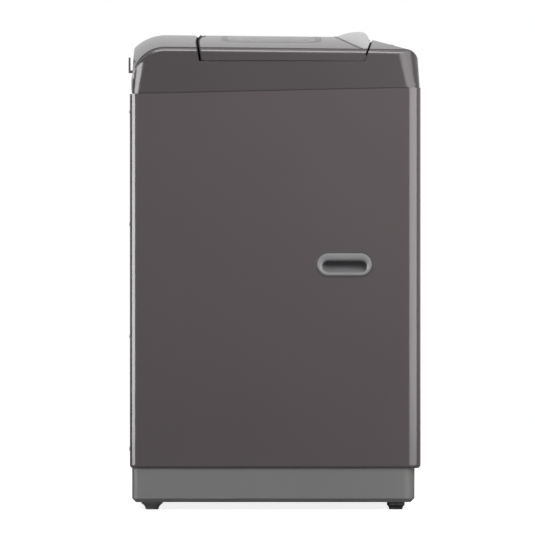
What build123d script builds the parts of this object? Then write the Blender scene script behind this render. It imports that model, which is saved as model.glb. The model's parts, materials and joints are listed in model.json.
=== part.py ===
from build123d import *
import os
from math import atan2, cos, degrees, hypot, radians, sin, tan

# Cabinet sizes in millimetres. X is the width, the front faces -Y, the rear faces +Y, Z is up.
WIDTH = 540.0
DEPTH = 540.0
FOOT_DROP = 14.0
BASE_HEIGHT = 63.0
CABINET_HEIGHT = 707.0
SEAM_FALL = 12.0
SHEET = 1.0
CORNER_FRONT = 22.0
CORNER_REAR = 12.0
FLANGE = 14.0
REAR_RETURN = 28.0
HEM = 6.0
REAR_SHEET = 1.0
LOUVRE_X = 105.0
LOUVRE_LENGTH = 110.0
LOUVRE_HEIGHT = 5.0
LOUVRE_PITCH = 16.0
LOUVRE_ROWS = 9
LOUVRE_RISE = 330.0
SCREW_RADIUS = 4.5
SCREW_HEAD = 1.5
SCREW_INSET = 20.0
SCREW_MARGIN = 30.0
SCREW_ROWS = 4
PANEL_PLAY = 1.0
LEAST_CORNER = 4.0

# Cutters run past the faces they open by this much, and right through thin walls
OVERCUT = 1.0
THROUGH = 200.0

# Base frame and feet
BASE_SIDE_INSET = 6.0
BASE_FRONT_INSET = 11.0
BASE_REAR_INSET = 4.0
BASE_WALL = 4.0
BASE_RING = 64.0
BASE_RIM = 10.0
BASE_TOE = 7.0
FOOT_SIDE_INSET = 45.0
REAR_FOOT_INSET = 41.0
FRONT_FOOT_INSET = 46.0
REAR_FOOT_RADIUS = 20.0
FRONT_FOOT_RADIUS = 16.5
FRONT_FOOT_HEIGHT = 16.0
FOOT_POCKET = 9.0
FOOT_CLEARANCE = 2.0
STEM_CLEARANCE = 0.1
LOCKNUT = 6.0
STEM_RADIUS = 5.0
STEM_LENGTH = 42.0
BOSS_ROOF = 10.0
RIM_PLAY = 0.5
TOE_WALL = 6.0
SOLE_INSET = 8.0
SOLE_RISE = 11.0
SOLE_BULGE = 2.0
PAD_INSET = 4.0
PAD_RISE = 8.0
PAD_BULGE = 1.2

# Top cover: outer form
TOP_RISE = 99.0
TOP_WALL = 3.0
TOP_FRONT_TAPER = 9.0
TOP_REAR_SETBACK = 3.0
TOP_REAR_TAPER = 5.0
TOP_CORNER_FRONT = 45.0
TOP_CORNER_REAR = 33.0
TOP_PITCH = 0.6
TOP_REVEAL = 1.6
SHELF = 8.0
SHELF_INSET = 10.5
ROLL_INSET = 65.0
ROLL_RADIUS = 83.0
BEAD_RISE = 64.0
BEAD_RADIUS = 9.0
BEAD_PROUD = 0.2
BEAD_SWEEP = 115.0
BEAD_FALL = 2.0
EAVE_INSET = 9.5
EAVE_RISE = 3.0
VALLEY_INSET = 7.0
VALLEY_RISE = 1.5
INNER_EAVE_INSET = 10.0
INNER_EAVE_RISE = 1.0
GROOVE_DEPTH = 4.0
PANEL_KNEE_INSET = 92.0
PANEL_KNEE_DROP = 9.0
PANEL_SLOPE = 15.55
PANEL_KNEE_RADIUS = 150.0
FRONT_NOSE_RADIUS = 25.0
FRONT_NOSE_RISE = 42.0
BLOCK_BELOW = 10.0
BLOCK_ABOVE = 8.0
BLOCK_BEYOND = 30.0
CREST_CLEAR = 1.0
SHELF_LAP = 0.8

# Lid
LID_EDGE_RISE = 51.0
LID_WALL = 3.0
LID_GAP = 4.0
LID_SIDE_GAP = 2.0
HINGE_INSET = 140.0
BARREL_RADIUS = 13.0
LIP_ANGLE = 58.0
LIP_FLARE = 48.0
REAR_LEAN = 5.5
LID_FRONT_INSET = 107.0
LID_FRONT_SLANT = 21.8
HINGE_SPACING = 170.0
HINGE_ARM_WIDTH = 18.0
HINGE_ARM = 8.0
HINGE_PIN_RADIUS = 3.0
HINGE_EYE = 1.0
HINGE_PLAY = 1.5
HINGE_EYE_PLAY = 1.2
HINGE_REAR_CUT = 40.0
PIN_PROUD = 2.0
KNUCKLE = 12.0
KNUCKLE_RADIUS = 8.5
WINDOW_WIDTH = 380.0
WINDOW_REAR_INSET = 30.0
WINDOW_LENGTH = 185.0
WINDOW_CORNER = 30.0
GLASS = 4.0
GLASS_PLAY = 0.4
LEDGE_SHEET = 2.0
LEDGE_LAP = 1.0
LINER = 2.5
LINER_RISE = 1.0
LINER_PLAY = 0.4
LINER_MARGIN = 2.0
LINER_NOTCH = 3.0
LEDGE = 6.0
PAD_RADIUS = 6.0
PAD_SIDE_INSET = 40.0
PAD_EDGE_INSET = 22.0
PAD_PLAY = 0.3
HANDLE_RISE = 9.5
HANDLE_NOSE = 33.5
HANDLE_LENGTH = 52.0
HANDLE_SAGITTA = 57.0
HANDLE_THICKNESS = 4.0
HANDLE_PLAY = 0.3
HANDLE_LAP = 3.0
HANDLE_SHOULDER = 11.0
HANDLE_CROWN = 29.0
HANDLE_BROW = 42.0
HANDLE_NOSE_RUN = 9.5
HANDLE_NOSE_RISE = 11.0
BROW_DROP = 2.5
BROW_CLEAR = 1.5
SCOOP_WIDTH = 130.0
SCOOP_DEPTH = 16.0
SCOOP_RISE = 14.0

# Control panel
PANEL_WIDTH = 270.0
PANEL_LENGTH = 40.0
PANEL_PLATE = 3.0
PANEL_CORNER = 8.0
PANEL_INSET = 52.0
DISPLAY_WIDTH = 76.0
DISPLAY_LENGTH = 24.0
BUTTON_WIDTH = 17.0
BUTTON_LENGTH = 10.0
BUTTON_PITCH = 27.0
BUTTON_RISE = 1.2
BUTTON_TRAVEL = 1.5
BUTTON_CLEARANCE = 0.4
BUTTON_STEM = 8.0
BOARD_DEPTH = 12.0
BOARD_SHEET = 1.6
POST_RADIUS = 2.5
POST_X_INSET = 15.0
POST_Y_INSET = 9.0
POST_LAP = 1.0
PANEL_FIT = 0.3
PANEL_LIP_X = 8.0
PANEL_LIP_Y = 4.0
KEY_GAP = 22.0
KEY_CORNER = 2.6
KEY_FLANGE = 2.0
KEY_FLANGE_SHEET = 1.2
KEY_FLANGE_DROP = 1.5
DISPLAY_SHEET = 2.0
DISPLAY_CORNER = 3.0
DISPLAY_LIP = 3.0
DISPLAY_FIT = 0.15
BOARD_X_INSET = 10.0
BOARD_Y_INSET = 6.5
BOARD_CLEARANCE = 1.0
SWITCH_RADIUS = 2.5
SWITCH_GAP = 0.4
SWITCH_LAP = 0.5

# Loading mouth and detergent drawer
MOUTH_WIDTH = 370.0
MOUTH_LENGTH = 245.0
MOUTH_CORNER = 85.0
COLLAR_RISE = 24.0
DRAWER_WIDTH = 130.0
DRAWER_HEIGHT = 44.0
DRAWER_LENGTH = 100.0
DRAWER_WALL = 2.0
DRAWER_CLEARANCE = 0.5
DRAWER_DROP = 9.0
DRAWER_PROUD = 1.0
DRAWER_FRONT = 4.0
DRAWER_PULL = 14.0
DRAWER_PULL_DEPTH = 3.0
HOUSING_WALL = 2.5
HOUSING_GAP = 0.4
HOUSING_SPARE = 8.0
SPRAY_SLOT_WIDTH = 78.0
SPRAY_SLOT_LENGTH = 14.0
SPRAY_SLOT_START = 8.0
MOUTH_HINGE_GAP = 25.0
LOCK_WIDTH = 70.0
LOCK_LENGTH = 18.0
LOCK_HEIGHT = 26.0
LOCK_MOUTH_INSET = 25.0
LOCK_SETBACK = 2.0

# Rear fittings
INLET_X = 150.0
INLET_RISE = 21.0
INLET_RADIUS = 13.2
INLET_COLLAR = 16.0
RECESS_WIDTH = 90.0
RECESS_HEIGHT = 36.0
RECESS_DEPTH = 27.0
HOOK_X = -180.0
HOOK_WIDTH = 20.0
HOOK_RISE = 39.0
HOOK_HEIGHT = 29.0
HOOK_THICKNESS = 3.5
HOOK_REACH = 3.0
HOOK_ARM = 5.0
VALVE_WIDTH = 50.0
VALVE_LENGTH = 42.0
VALVE_HEIGHT = 34.0
DUCT_RADIUS = 9.0
DUCT_WALL = 2.0
DUCT_BEND = 8.0
INLET_WALL = 4.0
INLET_PROUD = 1.0
SENSOR_RADIUS = 20.0
SENSOR_LENGTH = 14.0
SENSOR_SPOUT = 4.0
SENSOR_SPOUT_LENGTH = 26.0
DRAIN_X = -110.0
DRAIN_RISE = 68.0
DRAIN_Y = 130.0
DRAIN_RADIUS = 12.0
DRAIN_WALL = 3.0
OUTLET_RADIUS = 13.0
OUTLET_LENGTH = 11.0
OUTLET_PROUD = 1.0
OUTLET_FLANGE = 5.0
OUTLET_FLANGE_SHEET = 2.0
DRAIN_VALVE_RADIUS = 26.0
DRAIN_VALVE_HEIGHT = 50.0
DRAIN_SPOUT = 24.0
DRAIN_MOTOR_LENGTH = 52.0
DRAIN_MOTOR_WIDTH = 40.0
DRAIN_MOTOR_HEIGHT = 36.0
DRAIN_MOTOR_LAP = 2.0
CORD_X = 190.0
CORD_RISE = 60.0
CORD_HOLE = 9.0
GLAND_WALL = 4.0
GLAND_FLANGE = 4.0
GLAND_FLANGE_SHEET = 2.0

# Hand grips
GRIP_WIDTH = 106.0
GRIP_HEIGHT = 42.0
GRIP_MOUTH_WIDTH = 86.0
GRIP_MOUTH_HEIGHT = 25.0
GRIP_FRONT_INSET = 141.5
GRIP_RISE = 378.6
GRIP_DEPTH = 30.0
GRIP_FLANGE = 2.0
GRIP_WALL = 2.0
GRIP_LAP = 8.0
GRIP_PLAY = 0.3
GRIP_TAPER = 35.0
GRIP_SILL = 1.0

# Tub and suspension
TUB_SIDE_GAP = 27.0
TUB_WALL = 3.0
TUB_FLOOR_RISE = 98.0
TUB_TOP_DROP = 84.0
TUB_FLOOR = 4.0
TUB_COVER_HEIGHT = 30.0
ROD_INSET = 44.0
ROD_RADIUS = 4.0
ROD_CLEARANCE = 1.5
ROD_HEAD_RADIUS = 9.0
LUG_RISE = 172.0
LUG_HEIGHT = 22.0
LUG_WIDTH = 36.0
BRACKET_DROP = 40.0
BRACKET_LEG = 95.0
BRACKET_SHEET = 3.0
SEAT_HEIGHT = 8.0
SPRING_RADIUS = 13.0
SPRING_WIRE = 1.75
SPRING_LENGTH = 52.0
SPRING_TURNS = 6.0
SPRING_CAP = 8.0
SPRING_CAP_MARGIN = 5.0
SPRING_PLAY = 0.2
ROD_HEAD = 6.0
ROD_TIP = 2.0
SEAT_MARGIN = 3.0
TUB_KNUCKLE = 20.0
HUB_MARGIN = 9.0
TUB_LIP = 7.0
COVER_BORE_MARGIN = 8.0

# Basket, pulsator and drive
BASKET_GAP = 15.0
BASKET_SHEET = 1.2
BASKET_FLOOR_RISE = 26.0
BASKET_FLOOR = 5.0
RING_WIDTH = 38.0
RING_HEIGHT = 48.0
RING_TOP_GAP = 8.0
HOLE_RADIUS = 3.0
HOLE_COLUMNS = 24
HOLE_ROWS = 6
PULSATOR_RADIUS = 165.0
PULSATOR_PLATE = 4.0
BLADE_COUNT = 6
BLADE_HEIGHT = 22.0
BLADE_WIDTH = 26.0
CAP_RADIUS = 42.0
CAP_RISE = 14.0
SPIN_SHAFT_RADIUS = 15.0
DRIVE_SHAFT_RADIUS = 9.0
RUNNING = 0.05
BEARING_RADIUS = 31.0
BEARING_WIDTH = 12.0
HOUSING_RADIUS = 95.0
STATOR_RADIUS = 117.0
STATOR_BORE = 66.0
STATOR_HEIGHT = 30.0
ROTOR_RADIUS = 130.0
ROTOR_WALL = 3.0
AIR_GAP = 1.0
HOUSING_DROP = 58.0
HOUSING_FLANGE = 10.0
HOUSING_NECK = 6.0
HOUSING_SHOULDER = 5.0
HOUSING_FOOT = 2.0
STATOR_DROP = 40.0
STATOR_SEAT = 14.0
ROTOR_GAP = 9.0
ROTOR_RIM = 2.0
ROTOR_HUB_FOOT = 30.0
ROTOR_HUB_RADIUS = 25.0
ROTOR_HUB = 14.0
SHAFT_TAIL = 16.0
ROTOR_NUT = 11.0
NUT_MARGIN = 7.0
PULSATOR_GAP = 3.0
PULSATOR_HUB = 25.0
PULSATOR_TOE = 6.0
PULSATOR_RIM = 8.0
PULSATOR_RIM_RISE = 10.0
PULSATOR_DISH = 24.0
PULSATOR_SKIRT = 8.0
PULSATOR_SKIRT_RISE = 2.0
BLADE_ROOT = 6.0
BLADE_SINK = 2.0
BLADE_TIP_INSET = 14.0
BLADE_TAPER = 3.5
DRUM_LAP = 10.0
HOLE_MARGIN = 30.0
HUB_PLATE_MARGIN = 10.0
HUB_PLATE_DROP = 8.0
SKIRT_RISE = 12.0
SKIRT_SHEET = 6.0
SKIRT_RUN = 30.0
RING_PROUD = 3.0
RING_CORNERS = [6.0, 0.0, 0.0, 0.0, 4.0, 10.0]
SHAFT_FLANGE = 4.0
SHAFT_FLANGE_DROP = 12.0
FILTER_DEPTH = 36.0
FILTER_WIDTH = 100.0
FILTER_HEIGHT = 220.0

# Levels and places that follow from the sizes above
half_width = WIDTH / 2
front = -DEPTH / 2
rear = DEPTH / 2
base_top = FOOT_DROP + BASE_HEIGHT
seam_front = base_top + CABINET_HEIGHT
seam_rear = seam_front - SEAM_FALL
crest = seam_front + TOP_RISE
block_bottom = seam_rear - BLOCK_BELOW
block_top = crest + BLOCK_ABOVE
roll_y = rear - ROLL_INSET
roll_z = crest - ROLL_RADIUS
lid_edge = seam_front + LID_EDGE_RISE
deck_top = lid_edge - LID_SIDE_GAP
deck_bottom = deck_top - TOP_WALL
hinge_y = rear - HINGE_INSET
hinge_z = crest - (roll_y - hinge_y) * tan(radians(TOP_PITCH)) - BARREL_RADIUS
lid_front = front + LID_FRONT_INSET
slant = tan(radians(LID_FRONT_SLANT))
slope = tan(radians(PANEL_SLOPE))
knee_y = front + PANEL_KNEE_INSET
knee_z = crest - PANEL_KNEE_DROP
panel_y = front + PANEL_INSET
panel_z = knee_z - (knee_y - panel_y) * slope
mouth_rear = hinge_y - MOUTH_HINGE_GAP
mouth_y = mouth_rear - MOUTH_LENGTH / 2
collar_bottom = seam_rear - COLLAR_RISE
inlet_z = seam_rear + INLET_RISE
tub_radius = min(WIDTH, DEPTH) / 2 - TUB_SIDE_GAP
tub_bottom = base_top + TUB_FLOOR_RISE
tub_floor = tub_bottom + TUB_FLOOR
tub_top = seam_front - TUB_TOP_DROP
cover_top = tub_top + TUB_COVER_HEIGHT
basket_radius = tub_radius - TUB_WALL - BASKET_GAP
basket_bottom = tub_floor + BASKET_FLOOR_RISE
basket_floor = basket_bottom + BASKET_FLOOR
ring_top = cover_top - TUB_WALL - RING_TOP_GAP
ring_bottom = ring_top - RING_HEIGHT
ring_bore = basket_radius - RING_WIDTH
rod_x = half_width - ROD_INSET
rod_y = rear - ROD_INSET
bracket_top = seam_rear - BRACKET_DROP
lug_bottom = base_top + LUG_RISE
spring_bottom = lug_bottom - SPRING_LENGTH
housing_bottom = tub_bottom - HOUSING_DROP
stator_top = tub_bottom - STATOR_DROP
stator_bottom = stator_top - STATOR_HEIGHT
rotor_bottom = stator_bottom - ROTOR_GAP
shaft_bottom = rotor_bottom - SHAFT_TAIL
pulsator_bottom = basket_floor + PULSATOR_GAP
grip_y = front + GRIP_FRONT_INSET
grip_z = base_top + GRIP_RISE
drain_z = base_top + DRAIN_RISE
cord_z = base_top + CORD_RISE
hook_z = seam_rear + HOOK_RISE
drawer_top = deck_bottom - DRAWER_DROP
drawer_bottom = drawer_top - DRAWER_HEIGHT
handle_rear = lid_front + HANDLE_LENGTH
handle_radius = (half_width**2 + HANDLE_SAGITTA**2) / (2 * HANDLE_SAGITTA)
bead_x = half_width + BEAD_PROUD - BEAD_RADIUS
eave_x = bead_x - EAVE_INSET
eave_z = seam_front + BEAD_RISE + BEAD_RADIUS + EAVE_RISE
window_y = hinge_y - WINDOW_REAR_INSET - WINDOW_LENGTH / 2
foot_x = half_width - FOOT_SIDE_INSET
front_foot_y = front + FRONT_FOOT_INSET
rear_foot_y = rear - REAR_FOOT_INSET
boss_top = FOOT_DROP + FOOT_POCKET + BOSS_ROOF
corners = [(sx * rod_x, sy * rod_y) for sx in (-1, 1) for sy in (-1, 1)]
sides = (-1, 1)

os.makedirs("parts", exist_ok=True)


def save(part, name):
    part.label = name
    export_step(part, "parts/" + name + ".step")


def plan(side_inset, front_inset, rear_inset, front_radius, rear_radius):
    x = half_width - side_inset
    with BuildSketch() as sketch:
        with BuildLine():
            FilletPolyline(
                (x, front + front_inset),
                (x, rear - rear_inset),
                (-x, rear - rear_inset),
                (-x, front + front_inset),
                close=True,
                radius=[front_radius, rear_radius, rear_radius, front_radius],
            )
        make_face()
    return sketch.sketch


def cabinet_plan(inset):
    front_radius = max(CORNER_FRONT - inset, LEAST_CORNER)
    rear_radius = max(CORNER_REAR - inset, LEAST_CORNER)
    return plan(inset, inset, inset, front_radius, rear_radius)


def seam_plane(drop):
    return Plane(origin=(0, front, seam_front - drop), x_dir=(1, 0, 0), z_dir=(0, SEAM_FALL, DEPTH))


def front_wall(z):
    return front + TOP_FRONT_TAPER * (z - block_bottom) / (block_top - block_bottom)


def rear_wall(z):
    return rear - TOP_REAR_SETBACK - TOP_REAR_TAPER * (z - block_bottom) / (block_top - block_bottom)


# Outer form of the top: a tapering block, a domed crown with a shoulder bead, and a sloping front
def top_block(inset):
    with BuildPart() as block:
        with BuildSketch(Plane.XY.offset(block_bottom)):
            add(plan(inset, inset, TOP_REAR_SETBACK + inset, CORNER_FRONT - inset, CORNER_REAR - inset))
        with BuildSketch(Plane.XY.offset(block_top)):
            add(
                plan(
                    inset,
                    TOP_FRONT_TAPER + inset,
                    TOP_REAR_SETBACK + TOP_REAR_TAPER + inset,
                    TOP_CORNER_FRONT - inset,
                    TOP_CORNER_REAR - inset,
                )
            )
        loft()
    return block.part


def crown(drop):
    beyond = half_width + BLOCK_BEYOND
    bead_z = seam_front + BEAD_RISE - roll_z
    eave = (eave_x, bead_z + BEAD_RADIUS + EAVE_RISE)
    valley = (bead_x - VALLEY_INSET, bead_z + BEAD_RADIUS + VALLEY_RISE - GROOVE_DEPTH)
    inner_eave = (bead_x - INNER_EAVE_INSET, bead_z + BEAD_RADIUS + INNER_EAVE_RISE - drop)
    inner_bead = (bead_x, bead_z + BEAD_FALL - drop)
    section = Plane(origin=(0, roll_y, roll_z), x_dir=(1, 0, 0), z_dir=(0, -1, 0))
    with BuildPart() as form:
        with BuildSketch(section) as profile:
            with BuildLine():
                if drop == 0.0:
                    Polyline((0, 0), (beyond, 0), (beyond, bead_z), (bead_x + BEAD_RADIUS, bead_z))
                    bead = CenterArc((bead_x, bead_z), BEAD_RADIUS, 0, BEAD_SWEEP)
                    Polyline(bead @ 1, valley, eave)
                    Line((0, ROLL_RADIUS), (0, 0))
                    peak = eave
                else:
                    Polyline((0, 0), (beyond, 0), (beyond, bead_z - drop), inner_bead, inner_eave)
                    Line((0, ROLL_RADIUS - drop), (0, 0))
                    peak = inner_eave
                dome_z = ROLL_RADIUS - drop
                dome_radius = (peak[0] ** 2 + (dome_z - peak[1]) ** 2) / (2 * (dome_z - peak[1]))
                RadiusArc(peak, (0, dome_z), -dome_radius)
            make_face()
            mirror(about=Plane.YZ)
        extrude(amount=DEPTH)
        revolve(profile.sketch, axis=Axis((0, roll_y, roll_z), (1, 0, 0)), revolution_arc=-90)
        with Locations((0, 0, roll_z)):
            Box(2 * beyond, 2 * DEPTH, roll_z, align=(Align.CENTER, Align.CENTER, Align.MAX))
    return form.part.rotate(Axis((0, roll_y, roll_z), (1, 0, 0)), TOP_PITCH)


def front_cut(inset):
    nose_z = seam_front + FRONT_NOSE_RISE - inset
    nose_y = front_wall(seam_front + FRONT_NOSE_RISE) + inset
    corner_z = knee_z - inset - (knee_y - nose_y) * slope
    top = crest + CREST_CLEAR - inset
    top_y = knee_y + (top - knee_z + inset) / slope
    above = block_top + BLOCK_BEYOND
    ahead = front - BLOCK_BEYOND
    with BuildPart() as cut:
        with BuildSketch(Plane.YZ.offset(-half_width - BLOCK_BEYOND)):
            with BuildLine():
                FilletPolyline(
                    (nose_y, nose_z),
                    (nose_y, corner_z),
                    (top_y, top),
                    (roll_y, top),
                    radius=[FRONT_NOSE_RADIUS - inset, PANEL_KNEE_RADIUS],
                )
                Polyline((roll_y, top), (roll_y, above), (ahead, above), (ahead, nose_z), (nose_y, nose_z))
            make_face()
        extrude(amount=WIDTH + 2 * BLOCK_BEYOND)
    return cut.part


def top_form(inset):
    with BuildPart() as form:
        add(top_block(inset))
        add(crown(inset), mode=Mode.INTERSECT)
        add(front_cut(inset), mode=Mode.SUBTRACT)
    return form.part


# Side view of the lid, grown outward to cut its bay or shrunk to hollow it
def lid_zone(gap, side_gap):
    barrel = BARREL_RADIUS + gap
    foot_z = lid_edge - side_gap
    above = block_top + BLOCK_BEYOND
    front_foot = lid_front - gap + side_gap * slant
    front_head = front_foot - (above - foot_z) * slant
    rear_foot = hinge_y + barrel - REAR_LEAN * (hinge_z - foot_z) / (hinge_z - lid_edge)
    lip = LIP_ANGLE if gap > 0 else 0.0
    flare = tan(radians(LIP_FLARE)) if gap > 0 else 0.0
    lip_y = hinge_y + barrel * sin(radians(lip))
    lip_z = hinge_z + barrel * cos(radians(lip))
    with BuildPart() as zone:
        with BuildSketch(Plane.YZ.offset(-half_width - BLOCK_BEYOND)):
            with BuildLine():
                Polyline(
                    (hinge_y + barrel, hinge_z),
                    (rear_foot, foot_z),
                    (front_foot, foot_z),
                    (front_head, above),
                    (lip_y + (above - lip_z) * flare, above),
                    (lip_y, lip_z),
                )
                CenterArc((hinge_y, hinge_z), barrel, 0.0, 90.0 - lip)
            make_face()
        extrude(amount=WIDTH + 2 * BLOCK_BEYOND)
    return zone.part


def mouth(grow, bottom, top):
    with BuildPart() as hole:
        with BuildSketch(Plane.XY.offset(bottom)):
            with Locations((0, mouth_y)):
                RectangleRounded(MOUTH_WIDTH + 2 * grow, MOUTH_LENGTH + 2 * grow, MOUTH_CORNER + grow)
        extrude(amount=top - bottom)
    return hole.part


panel_plane = Plane(
    origin=(0, panel_y, panel_z),
    x_dir=(1, 0, 0),
    z_dir=(0, -sin(radians(PANEL_SLOPE)), cos(radians(PANEL_SLOPE))),
)


def panel_bay(grow, depth):
    with BuildPart() as bay:
        with BuildSketch(panel_plane.offset(-depth)):
            RectangleRounded(PANEL_WIDTH + 2 * grow, PANEL_LENGTH + 2 * grow, PANEL_CORNER + grow)
        extrude(amount=depth + BLOCK_ABOVE)
    return bay.part


def scoop(grow):
    bottom = lid_edge + SCOOP_RISE - grow
    wall = lid_front - LID_GAP - (hinge_z - lid_edge) * slant
    with BuildPart() as bay:
        with BuildSketch(Plane.XY.offset(bottom)):
            with Locations((0, wall)):
                reach = SCOOP_DEPTH + grow
                RectangleRounded(SCOOP_WIDTH + 2 * grow, 2 * reach, reach - OVERCUT)
        extrude(amount=block_top - bottom)
    return bay.part


def inlet_recess(grow):
    with BuildPart() as bay:
        with Locations((INLET_X, rear + BLOCK_BEYOND, inlet_z)):
            Box(
                RECESS_WIDTH + 2 * grow,
                RECESS_DEPTH + BLOCK_BEYOND + grow,
                RECESS_HEIGHT + 2 * grow,
                align=(Align.CENTER, Align.MAX, Align.CENTER),
            )
    return bay.part


def grip_sketch(side, x, width, height):
    grip_plane = Plane(origin=(side * x, grip_y, grip_z), x_dir=(0, side, 0), z_dir=(side, 0, 0))
    with BuildSketch(grip_plane) as sketch:
        SlotOverall(width, height)
    return sketch.sketch


# Cabinet wrap: one bent sheet round the front and sides, with returns along the rear edges
with BuildPart() as wrap_hollow:
    with BuildSketch(Plane.XY.offset(base_top + SHEET)):
        add(cabinet_plan(SHEET))
    extrude(amount=CABINET_HEIGHT)
    fillet(wrap_hollow.edges().group_by(Axis.Z)[0], radius=HEM - SHEET)
    split(bisect_by=seam_plane(SHEET), keep=Keep.BOTTOM)

with BuildPart() as wrap:
    with BuildSketch(Plane.XY.offset(base_top)):
        add(cabinet_plan(0.0))
    extrude(amount=CABINET_HEIGHT + OVERCUT)
    fillet(wrap.edges().group_by(Axis.Z)[0], radius=HEM)
    split(bisect_by=seam_plane(0.0), keep=Keep.BOTTOM)
    add(wrap_hollow.part, mode=Mode.SUBTRACT)
    with BuildSketch(Plane.XY.offset(base_top - OVERCUT)):
        add(cabinet_plan(FLANGE))
    extrude(amount=CABINET_HEIGHT + 2 * OVERCUT, mode=Mode.SUBTRACT)
    with Locations((0, rear, (base_top + seam_rear) / 2)):
        Box(WIDTH - 2 * REAR_RETURN, 4 * SHEET, seam_rear - base_top - 2 * REAR_RETURN, mode=Mode.SUBTRACT)
    for side in sides:
        opening = grip_sketch(side, half_width - 2 * SHEET, GRIP_WIDTH - GRIP_LAP, GRIP_HEIGHT - GRIP_LAP)
        extrude(opening, amount=4 * SHEET, mode=Mode.SUBTRACT)
save(wrap.part, "cabinet_wrap")

# Rear panel: flat sheet behind the returns, with two banks of louvres, a drain hole and a cord hole
panel_bottom = base_top + HEM + PANEL_PLAY
panel_top = seam_rear - SHEET - PANEL_PLAY
with BuildPart() as rear_panel:
    with Locations((0, rear - SHEET, panel_bottom)):
        Box(
            WIDTH - 2 * CORNER_REAR - PANEL_PLAY,
            REAR_SHEET,
            panel_top - panel_bottom,
            align=(Align.CENTER, Align.MAX, Align.MIN),
        )
    for column in sides:
        for row in range(LOUVRE_ROWS):
            louvre_z = panel_bottom + LOUVRE_RISE + row * LOUVRE_PITCH
            with Locations((column * LOUVRE_X, rear - SHEET, louvre_z)):
                Box(LOUVRE_LENGTH, 4 * REAR_SHEET, LOUVRE_HEIGHT, mode=Mode.SUBTRACT)
    with Locations(Plane(origin=(DRAIN_X, rear, drain_z), z_dir=(0, 1, 0))):
        Cylinder(DRAIN_RADIUS + DRAIN_WALL, THROUGH, mode=Mode.SUBTRACT)
    with Locations(Plane(origin=(CORD_X, rear, cord_z), z_dir=(0, 1, 0))):
        Cylinder(CORD_HOLE, THROUGH, mode=Mode.SUBTRACT)
save(rear_panel.part, "rear_panel")

# Screws along the two rear returns
screw_pitch = (panel_top - panel_bottom - 2 * SCREW_MARGIN) / (SCREW_ROWS - 1)
with BuildPart() as rear_screws:
    for side in sides:
        for step in range(SCREW_ROWS):
            screw_z = panel_bottom + SCREW_MARGIN + step * screw_pitch
            with Locations(Plane(origin=(side * (half_width - SCREW_INSET), rear, screw_z), z_dir=(0, 1, 0))):
                Cylinder(SCREW_RADIUS, SCREW_HEAD, align=(Align.CENTER, Align.CENTER, Align.MIN))
save(rear_screws.part, "rear_screws")

# Base: an open channel ring with a rim that locates the cabinet and bosses for the front feet
with BuildPart() as base:
    with BuildSketch(Plane.XY.offset(FOOT_DROP)):
        add(plan(BASE_SIDE_INSET, BASE_FRONT_INSET, BASE_REAR_INSET, CORNER_FRONT, CORNER_REAR))
    extrude(amount=BASE_HEIGHT)
    chamfer(base.edges().group_by(Axis.Z)[0].sort_by(Axis.Y)[0], length=BASE_TOE)
    with BuildSketch(Plane.XY.offset(FOOT_DROP + BASE_WALL)):
        add(
            plan(
                BASE_SIDE_INSET + BASE_WALL,
                BASE_FRONT_INSET + TOE_WALL,
                BASE_REAR_INSET + BASE_WALL,
                CORNER_FRONT - BASE_WALL,
                CORNER_REAR - BASE_WALL,
            )
        )
    extrude(amount=BASE_HEIGHT - 2 * BASE_WALL, mode=Mode.SUBTRACT)
    with BuildSketch(Plane.XY.offset(FOOT_DROP - OVERCUT)):
        add(plan(BASE_RING, BASE_RING, BASE_RING, BASE_RING, BASE_RING))
    extrude(amount=BASE_HEIGHT + 2 * OVERCUT, mode=Mode.SUBTRACT)
    with BuildSketch(Plane.XY.offset(base_top - OVERCUT)):
        add(cabinet_plan(FLANGE + RIM_PLAY))
        add(cabinet_plan(FLANGE + RIM_PLAY + BASE_WALL), mode=Mode.SUBTRACT)
    extrude(amount=BASE_RIM + OVERCUT)
    for side in sides:
        with Locations((side * foot_x, front_foot_y, FOOT_DROP)):
            Cylinder(
                FRONT_FOOT_RADIUS + FOOT_CLEARANCE + BASE_WALL,
                boss_top - FOOT_DROP,
                align=(Align.CENTER, Align.CENTER, Align.MIN),
            )
    for side in sides:
        with Locations((side * foot_x, front_foot_y, FOOT_DROP)):
            Cylinder(
                FRONT_FOOT_RADIUS + FOOT_CLEARANCE,
                FOOT_POCKET,
                align=(Align.CENTER, Align.CENTER, Align.MIN),
                mode=Mode.SUBTRACT,
            )
            Cylinder(STEM_RADIUS + STEM_CLEARANCE, THROUGH, mode=Mode.SUBTRACT)
save(base.part, "base")

# Rear feet: two fixed dished pads
with BuildPart() as rear_feet:
    for side in sides:
        foot_edge = side * foot_x + REAR_FOOT_RADIUS
        with BuildSketch(Plane.XZ.offset(-rear_foot_y)):
            with BuildLine():
                sole = Line((side * foot_x, 0), (foot_edge - SOLE_INSET, 0))
                flank = SagittaArc(sole @ 1, (foot_edge, SOLE_RISE), SOLE_BULGE)
                Polyline(flank @ 1, (foot_edge, FOOT_DROP), (side * foot_x, FOOT_DROP), sole @ 0)
            make_face()
        revolve(axis=Axis((side * foot_x, rear_foot_y, 0), (0, 0, 1)))
save(rear_feet.part, "rear_feet")

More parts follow.
